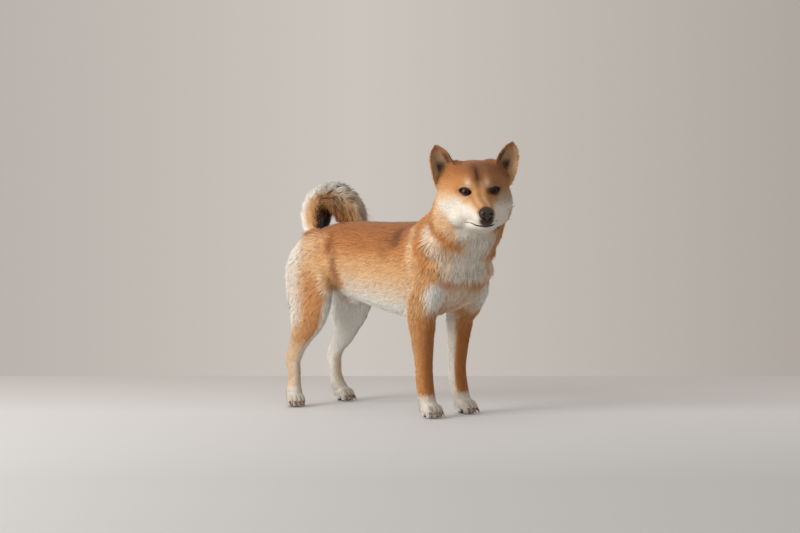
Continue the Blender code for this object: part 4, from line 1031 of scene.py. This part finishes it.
def tail_coat(material):
    """The tail's brush of long curved locks, in clumps."""
    clumps = int(TAIL_CLUMPS * max(COAT_SHARE, QUICK_TAIL_SHARE))
    each = CLUMP_LOCKS
    t = (np.arange(clumps) + RNG.uniform(0, 1, clumps)) / clumps
    angle = RNG.uniform(0, 2 * np.pi, clumps)
    t = np.repeat(t, each) + RNG.normal(0, 0.012, clumps * each)
    t = np.clip(t, -0.02, 1.0)
    angle = np.repeat(angle, each) + RNG.normal(0, 0.16, clumps * each)
    tangent, outward, sideways = tail_frame(t)
    radial = outward * np.cos(angle)[:, None] + sideways * np.sin(angle)[:, None]
    core = coat_radius(t) * TAIL_CORE_SHARE * 0.85
    root = tail_point(t) + radial * core[:, None]
    splay = np.radians(LOCK_SPLAY[0] - LOCK_SPLAY[1] * np.cos(angle))
    splay = splay + np.repeat(RNG.normal(0, 0.10, clumps), each)
    splay += RNG.normal(0, 0.06, len(t))
    # the locks inside the curl reach on, to close its hollow as in the photo
    inner = ramp(np.cos(angle), 0.1, -0.8)
    far = ramp(np.sin(angle), 0.3, -0.6)
    closing = 0.14 + 0.46 * far + 0.24 * ramp(t, 0.30, 0.55)
    reach = coat_radius(t) * (1.0 + inner * closing * ramp(t, 0.98, 0.78)) - core
    bow = 0.5 * np.cos(angle) / TAIL_CURL_RADIUS[0] * np.cos(splay) ** 2
    safe = np.where(np.abs(bow) < 0.5, 0.5, bow)
    solved = (np.sqrt(np.maximum(np.sin(splay) ** 2 + 4 * safe * reach, 0)) - np.sin(splay)) / (2 * safe)
    straight = reach / np.sin(splay)
    length = np.minimum(np.where(np.abs(bow) < 0.5, straight, solved), 1.35 * straight)
    length *= np.repeat(RNG.uniform(0.92, 1.06, clumps), each) * RNG.uniform(0.72, 1.08, len(t))
    width = RNG.uniform(*LOCK_WIDTHS, len(t))
    rings = LOCK_RINGS
    verts = tuft_rings(root, radial, tangent, length, width, splay, rings, bend=0.16, flatness=0.5)
    verts[:, :, 2] = np.maximum(verts[:, :, 2], back_level(verts[:, :, 0], verts[:, :, 1]))
    share = np.repeat(np.arange(rings + 1) / rings, [3] * rings + [1])
    factor = np.clip(1 + RNG.normal(0, 0.10, len(t)), 0.65, 1.3)
    colour = tail_shade(angle, t, share) * factor[:, None, None]
    turn = (angle % (2 * np.pi)) / (2 * np.pi)
    uv = TAIL_CELL + TAIL_CELL_SIZE * np.column_stack([turn, np.clip(t, 0, 1)])
    order = np.argsort(t, kind="stable")
    for number, rows in enumerate(np.array_split(order, 2), 1):
        blend = unit(radial[rows] + 0.2 * tangent[rows])
        add_coat(f"coat_tail_{number}", material, verts[rows], colour[rows], blend, uv[rows], rings)
    print("tail", len(t), "tufts", len(t) * len(tuft_faces(rings)), "triangles")


def back_level(x, y):
    """The height of the back's coat under the tail's brush."""
    level = BACK_HEIGHT - 0.55 * np.maximum(RUMP_START - x, 0) ** 1.25 * 4
    return np.where(np.abs(y) < BACK_HALF_WIDTH, level - 6 * y * y, 0.0)


# The face's bare parts
def eye_frame(side):
    """An eye's centre, gaze, sideways axis and upward axis, in the head's frame."""
    gaze = np.array([math.cos(EYE_GAZE_OUT), side * math.sin(EYE_GAZE_OUT), 0.0])
    level = np.array([-math.sin(EYE_GAZE_OUT) * side, math.cos(EYE_GAZE_OUT), 0.0]) * side
    up = np.array([0.0, 0.0, 1.0])
    centre = np.array([EYE_CENTRE.x, side * EYE_CENTRE.y, EYE_CENTRE.z])
    along = level * math.cos(EYE_SLANT) + up * math.sin(EYE_SLANT)
    return centre, gaze, along, up * math.cos(EYE_SLANT) - level * math.sin(EYE_SLANT)


def make_eye(side_name):
    """The eyeball with a dark iris, a pupil and a raised cornea."""
    centre, gaze, along, up = eye_frame(SIDES[side_name])
    bm = bmesh.new()
    bmesh.ops.create_uvsphere(bm, u_segments=64, v_segments=48, radius=EYE_RADIUS * 0.99)
    bm.verts.ensure_lookup_table()
    local = np.array([v.co[:] for v in bm.verts])
    faces = [[v.index for v in f.verts] for f in bm.faces]
    bm.free()
    off_axis = np.degrees(np.arccos(np.clip(local[:, 2] / np.linalg.norm(local, axis=1), -1, 1)))
    local *= (1 + CORNEA_RISE * ramp(off_axis, *CORNEA_DEGREES))[:, None]
    turn = np.stack([along, up, gaze], axis=1)
    world = (centre + local @ turn.T) @ HEAD_TURN.T + np.array(HEAD_ORIGIN)
    tris = []
    for face in faces:
        tris += [(face[0], face[k], face[k + 1]) for k in range(1, len(face) - 1)]
    obj = mesh_object("eyeball_" + side_name, world, tris)
    colour = np.tile(IRIS_EDGE, (len(local), 1))
    colour = over(colour, IRIS, ramp(off_axis, *IRIS_DEGREES))
    colour = over(colour, PUPIL, ramp(off_axis, *PUPIL_DEGREES))
    colour = over(colour, IRIS_RING, ramp(off_axis, 34, 38) * ramp(off_axis, 44, 40))
    paint(obj, colour)
    material, tree, shader = node_tree("eye_" + side_name)
    marking = add_node(tree, "VertexColor", layer_name=MARKING)
    tree.links.new(marking.outputs["Color"], shader.inputs["Base Color"])
    set_inputs(shader, {"Roughness": 0.07, "Specular IOR Level": 0.12})
    set_inputs(shader, {"Coat Weight": 0.18, "Coat Roughness": 0.03})
    obj.data.materials.append(material)
    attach(obj, "root")
    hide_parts("eye_" + side_name)


def swept_tube(centres, radii, sides):
    """A tube of varying radius through the centres, closed at both ends, as points and triangles."""
    centres = np.asarray(centres, float)
    tangent = unit(np.gradient(centres, axis=0))
    reference = np.array([0.31, 0.22, 0.92])
    across = unit(np.cross(tangent, reference))
    deep = np.cross(tangent, across)
    angle = np.linspace(0, 2 * np.pi, sides, endpoint=False)
    verts = ring_points(centres, across, deep, angle, np.asarray(radii))
    faces = []
    for a, b, c, d in ring_quads(len(centres), sides):
        faces += [(a, b, c), (a, c, d)]
    last = (len(centres) - 1) * sides
    faces += [(0, k + 1, k) for k in range(1, sides - 1)]
    faces += [(last, last + k, last + k + 1) for k in range(1, sides - 1)]
    return verts, np.array(faces)


def depth_at(tree, centre, gaze, offset):
    """How far along the gaze the skin lies, at an offset from the ball's centre, or 0 if it's missed."""
    start = HEAD @ Vector(centre + offset + gaze * EYE_SEARCH)
    _, _, _, distance = tree.ray_cast(start, -(HEAD.to_3x3() @ Vector(gaze)), EYE_SEARCH)
    return 0.0 if distance is None else EYE_SEARCH - distance


def lid_band(tree, side):
    """One eye's dark lids: a band from the opening on the ball out to a pointed outline on the skin."""
    centre, gaze, along, up = eye_frame(side)
    angle = np.linspace(0, 2 * np.pi, LID_POINTS, endpoint=False)
    rise = np.sin(angle)
    slit = EYE_HALF_HEIGHT * rise * np.abs(rise) ** 0.25
    opening = np.column_stack([EYE_HALF_LENGTH * np.cos(angle), slit])
    outline = np.column_stack([LID_REACH[0] * np.cos(angle), LID_REACH[1] * rise * np.abs(rise)])
    rings = []
    for step in np.linspace(0, 1, LID_STEPS):
        flat = opening + (outline - opening) * step
        bulge = LID_BULGE * math.sin(math.pi * (0.15 + 0.80 * step))
        ring = []
        for u, v in flat:
            offset = u * along + v * up
            ball = math.sqrt(max((EYE_RADIUS * LID_CLEARANCE) ** 2 - u * u - v * v, 0.0))
            out = max(ball, depth_at(tree, centre, gaze, offset))
            ring.append(centre + offset + (out + bulge) * gaze)
        rings.append(ring)
    hidden = np.array(rings[0]) - LID_HIDDEN_DEPTH * gaze
    verts = np.concatenate([hidden[None], np.array(rings)]).reshape(-1, 3)
    faces = []
    for a, b, c, d in ring_quads(LID_STEPS + 1, LID_POINTS):
        faces += [(a, c, b), (a, d, c)] if side > 0 else [(a, b, c), (a, c, d)]
    return verts @ HEAD_TURN.T + np.array(HEAD_ORIGIN), faces


def make_lids(tree, material):
    """The dark bare lids of both eyes."""
    joined("eyelids", [lid_band(tree, side) for side in SIDES.values()], material)


def joined(name, parts, material):
    """One object from several parts' points and triangles."""
    verts, faces, start = [], [], 0
    for points, tris in parts:
        verts.append(points)
        faces.append(np.asarray(tris) + start)
        start += len(points)
    obj = mesh_object(name, np.concatenate(verts), np.concatenate(faces))
    obj.data.materials.append(material)
    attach(obj, "root")
    return obj


def make_lips(tree, material):
    """The dark edge of the lips along the mouth line, on the skin."""
    turn = HEAD.to_3x3()
    points = []
    for k in range(-LIP_STEPS, LIP_STEPS + 1):
        share = abs(k) / LIP_STEPS
        angle = math.radians(90 + 40 * share) * (1 if k >= 0 else -1) * share
        level = MOUTH_FRONT.z + (MOUTH_CORNER.z - MOUTH_FRONT.z) * share**1.6
        start = Vector((MOUTH_CORNER.x + 0.018 * (1 - share), 0, level))
        aim = Vector((math.cos(angle), math.sin(angle), 0))
        hit = tree.ray_cast(HEAD @ (start + aim * LIP_SEARCH), turn @ -aim, LIP_SEARCH_LENGTH)
        if hit[0] is not None:
            points.append(np.array(hit[0]) + np.array(turn @ aim) * LIP_LIFT)
    points = np.array(points)
    share = np.abs(np.linspace(-1, 1, len(points)))
    radii = LIP_RADIUS * (1 - share**2) + LIP_END_RADIUS
    joined("lips", [swept_tube(points, radii, 8)], material)


def make_nose():
    """The nose leather, finer than its solid, with a pebbled surface."""
    mesh = melted(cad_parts["nose"].data.copy(), NOSE_VOXEL, NOSE_SMOOTHING)
    mesh.shade_smooth()
    obj = bpy.data.objects.new("nose_leather_piece", mesh)
    bpy.context.scene.collection.objects.link(obj)
    material, tree, shader = node_tree("nose")
    cells = add_node(tree, "TexVoronoi", {"Scale": 900})
    noise = add_node(tree, "TexNoise", {"Scale": 120})
    add_two_tones(tree, shader, noise.outputs["Fac"], *NOSE_TONES)
    add_bump(tree, shader, cells.outputs["Distance"], 0.35, 0.0005)
    shader.inputs["Roughness"].default_value = 0.42
    mesh.materials.clear()
    mesh.materials.append(material)
    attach(obj, "root")
    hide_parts("nose")


def make_claws(material):
    """The claws, round and curved, in place of their plain solids."""
    parts = []
    for name, place in STANCE.items():
        kind = name.split("_")[0]
        turn = math.radians(place["turn"])
        rotate = np.array(Matrix.Rotation(turn, 3, "Z"))
        for toe in TOES:
            reach = PAW_HALF_LENGTH[kind] - CLAW_SETBACK - OUTER_SETBACK * (abs(toe) > 1)
            y = toe * TOE_STEP * PAW_HALF_WIDTH[kind]
            t = np.linspace(0, 1, 9)
            ahead, height = reach + CLAW_BED + CLAW_LENGTH * t, CLAW_HEIGHT - CLAW_DROP * t * t
            line = np.column_stack([ahead, 0 * t + y, height])
            line = line @ rotate.T + np.array([*place["paw"], 0])
            parts.append(swept_tube(line, CLAW_RADIUS * (1 - CLAW_TAPER * t), 10))
    obj = joined("claws", parts, material)
    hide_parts(*[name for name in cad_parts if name.startswith("claw_")])


def plain_material(name, colour, roughness):
    """A material of one colour with a little cloudiness and fine bump."""
    material, tree, shader = node_tree(name)
    noise = add_node(tree, "TexNoise", {"Scale": 200})
    low, high = colour * (1 - CLOUDINESS), np.minimum(colour * (1 + CLOUDINESS), 1)
    add_two_tones(tree, shader, noise.outputs["Fac"], low, high)
    add_bump(tree, shader, noise.outputs["Fac"], 0.2, 0.0006)
    shader.inputs["Roughness"].default_value = roughness
    return material


def make_skin(skin, material):
    """The one skin under the coat."""
    obj = mesh_object("skin", skin.surface, skin.tris)
    paint(obj, skin.colour * 0.85)
    uv = atlas(skin.points, skin.owner, skin.names)
    bake_map(obj, uv[skin.tris.ravel()])
    obj.data.materials.append(material)
    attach(obj, "root")
    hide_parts(*FLESH, *LEGS, *PAWS, "tail_base", "tail_tip")


# Floor, light and camera
CAMERA_RIGHT = Vector((0.6997, 0.7145, 0))
CAMERA_AHEAD = Vector((-0.7145, 0.6997, 0))
CAMERA_HEIGHT = 0.42
CAMERA_BACK = 4.42
CAMERA_ASIDE = 0.035
FOCAL_PIXELS = 2150
SENSOR_WIDTH = 36
IMAGE_SIZE = (800, 533)
HORIZON_ABOVE_MIDDLE = 60.9
# The floor's rows, by distance ahead of its middle, with painted light: brightest under the dog, darker
# towards the camera and a little darker far off
FLOOR_ROWS = (
    (-7.0, (187, 187, 187)),
    (-1.1, (193, 194, 195)),
    (0.0, (217, 217, 218)),
    (0.91, (205, 201, 199)),
)
FLOOR_HALF_WIDTH = 7.0
FLOOR_MIDDLE = Vector((0.06, 0, 0))
WORLD_DIM = 0.42
WORLD_BRIGHT = 0.94
AMBIENT = (1.0, 0.945, 0.88)
# The wall seen by the camera, with painted light: brightest in the middle, darker to both sides
WALL_TONES = ((0.0, (186, 178, 172)), (1.0, (174, 166, 158)), (0.45, (203, 197, 189)))
WALL_EDGE = 0.19
KEY_POWER = 67
KEY_SIZE = 1.6
KEY_SHAPE = 1.2
KEY_COLOUR = (1.0, 0.972, 0.94)
KEY_AIM = Vector((0.05, 0, 0.25))
KEY_ASIDE = 2.2
KEY_BACK = 1.75
KEY_ABOVE = 1.0


def make_camera():
    """The camera at the photo's place, with no shift."""
    camera = bpy.data.objects.new("camera", bpy.data.cameras.new("camera"))
    bpy.context.scene.collection.objects.link(camera)
    camera.data.sensor_width = SENSOR_WIDTH
    camera.data.lens = FOCAL_PIXELS / IMAGE_SIZE[0] * SENSOR_WIDTH
    camera.data.clip_end = 100
    pitch = math.atan(HORIZON_ABOVE_MIDDLE / FOCAL_PIXELS)
    up = Vector((0, 0, 1))
    look = CAMERA_AHEAD * math.cos(pitch) - up * math.sin(pitch)
    top = up * math.cos(pitch) + CAMERA_AHEAD * math.sin(pitch)
    matrix = Matrix((CAMERA_RIGHT, top, -look)).transposed().to_4x4()
    place = CAMERA_RIGHT * CAMERA_ASIDE - CAMERA_AHEAD * CAMERA_BACK + up * CAMERA_HEIGHT
    matrix.translation = place + SHIFT
    camera.matrix_world = matrix
    bpy.context.scene.camera = camera


def make_floor():
    """A wide pale floor with painted light, brightest under the dog and darker towards the camera, whose
    far edge meets the wall's tone.
    """
    middle = FLOOR_MIDDLE + SHIFT
    verts, tones, faces = [], [], []
    for ahead, tone in FLOOR_ROWS:
        for aside in (-FLOOR_HALF_WIDTH, FLOOR_HALF_WIDTH):
            verts.append((middle + CAMERA_AHEAD * ahead + CAMERA_RIGHT * aside)[:])
            tones.append(srgb(*tone))
    for row in range(len(FLOOR_ROWS) - 1):
        start = 2 * row
        faces.append((start, start + 1, start + 3, start + 2))
    mesh = bpy.data.meshes.new("floor")
    mesh.from_pydata(verts, [], faces)
    floor = bpy.data.objects.new("floor", mesh)
    bpy.context.scene.collection.objects.link(floor)
    paint(floor, np.array(tones))
    material = marked_material("floor", roughness=0.75, sheen=0.0, bump_scale=3, bump_strength=0.0)
    floor.data.materials.append(material)


def make_world():
    """The wall's tone to the camera, with painted light brightest in its middle, and a dim surround,
    brighter on the key's side, to all else.
    """
    world = bpy.data.worlds.new("surround")
    bpy.context.scene.world = world
    world.use_nodes = True
    tree = world.node_tree
    link = tree.links.new
    seen = tree.nodes["Background"]
    wall = add_node(tree, "ValToRGB")
    for number, (place, tone) in enumerate(WALL_TONES):
        stop = wall.color_ramp.elements[number] if number < 2 else wall.color_ramp.elements.new(place)
        stop.position = place
        stop.color = (*srgb(*tone), 1)
    across = add_node(tree, "MapRange", {"From Min": WALL_EDGE, "From Max": -WALL_EDGE})
    link(across.outputs["Result"], wall.inputs["Fac"])
    link(wall.outputs["Color"], seen.inputs["Color"])
    lighting = add_node(tree, "Background", {"Color": (*AMBIENT, 1)})
    place = add_node(tree, "TexCoord")
    toward = add_node(tree, "VectorMath", {1: -CAMERA_RIGHT}, operation="DOT_PRODUCT")
    span = {"From Min": -1, "From Max": 1, "To Min": WORLD_DIM, "To Max": WORLD_BRIGHT}
    scale = add_node(tree, "MapRange", span)
    path = add_node(tree, "LightPath")
    choice = add_node(tree, "MixShader")
    link(place.outputs["Generated"], toward.inputs[0])
    link(toward.outputs["Value"], scale.inputs["Value"])
    link(toward.outputs["Value"], across.inputs["Value"])
    link(scale.outputs["Result"], lighting.inputs["Strength"])
    link(path.outputs["Is Camera Ray"], choice.inputs["Fac"])
    link(lighting.outputs["Background"], choice.inputs[1])
    link(seen.outputs["Background"], choice.inputs[2])
    link(choice.outputs["Shader"], tree.nodes["World Output"].inputs["Surface"])


def make_key():
    """A large soft light from the camera's left."""
    scene = bpy.context.scene
    key = bpy.data.objects.new("key", bpy.data.lights.new("key", "AREA"))
    key.data.shape = "RECTANGLE"
    key.data.size = KEY_SIZE
    key.data.size_y = KEY_SHAPE * KEY_SIZE
    key.data.energy = KEY_POWER
    key.data.color = KEY_COLOUR
    scene.collection.objects.link(key)
    aim = KEY_AIM + SHIFT
    away = -CAMERA_RIGHT * KEY_ASIDE - CAMERA_AHEAD * KEY_BACK + Vector((0, 0, KEY_ABOVE))
    key.location = aim + away
    key.rotation_euler = (-away).to_track_quat("-Z", "Y").to_euler()
    scene.view_settings.view_transform = "Standard"
    scene.view_settings.look = "None"


def main():
    """Builds the whole scene, in the order that the random draws were made in."""
    make_camera()
    make_floor()
    make_world()
    make_key()
    skin = Skin()
    under = marked_material("skin", roughness=0.85, sheen=0.05, bump_scale=900, bump_strength=0.5)
    make_skin(skin, under)
    coat = marked_material("coat", roughness=0.80, sheen=0.10, bump_scale=500, bump_strength=0.1)
    body_coat(skin, coat)
    tail_coat(coat)
    for side_name in SIDES:
        make_eye(side_name)
    bare = plain_material("bare_skin", SKIN_DARK, roughness=0.45)
    tree = BVHTree.FromPolygons(skin.surface.tolist(), skin.tris.tolist())
    make_lids(tree, bare)
    make_lips(tree, bare)
    make_nose()
    make_claws(plain_material("horn", HORN, roughness=0.40))


main()
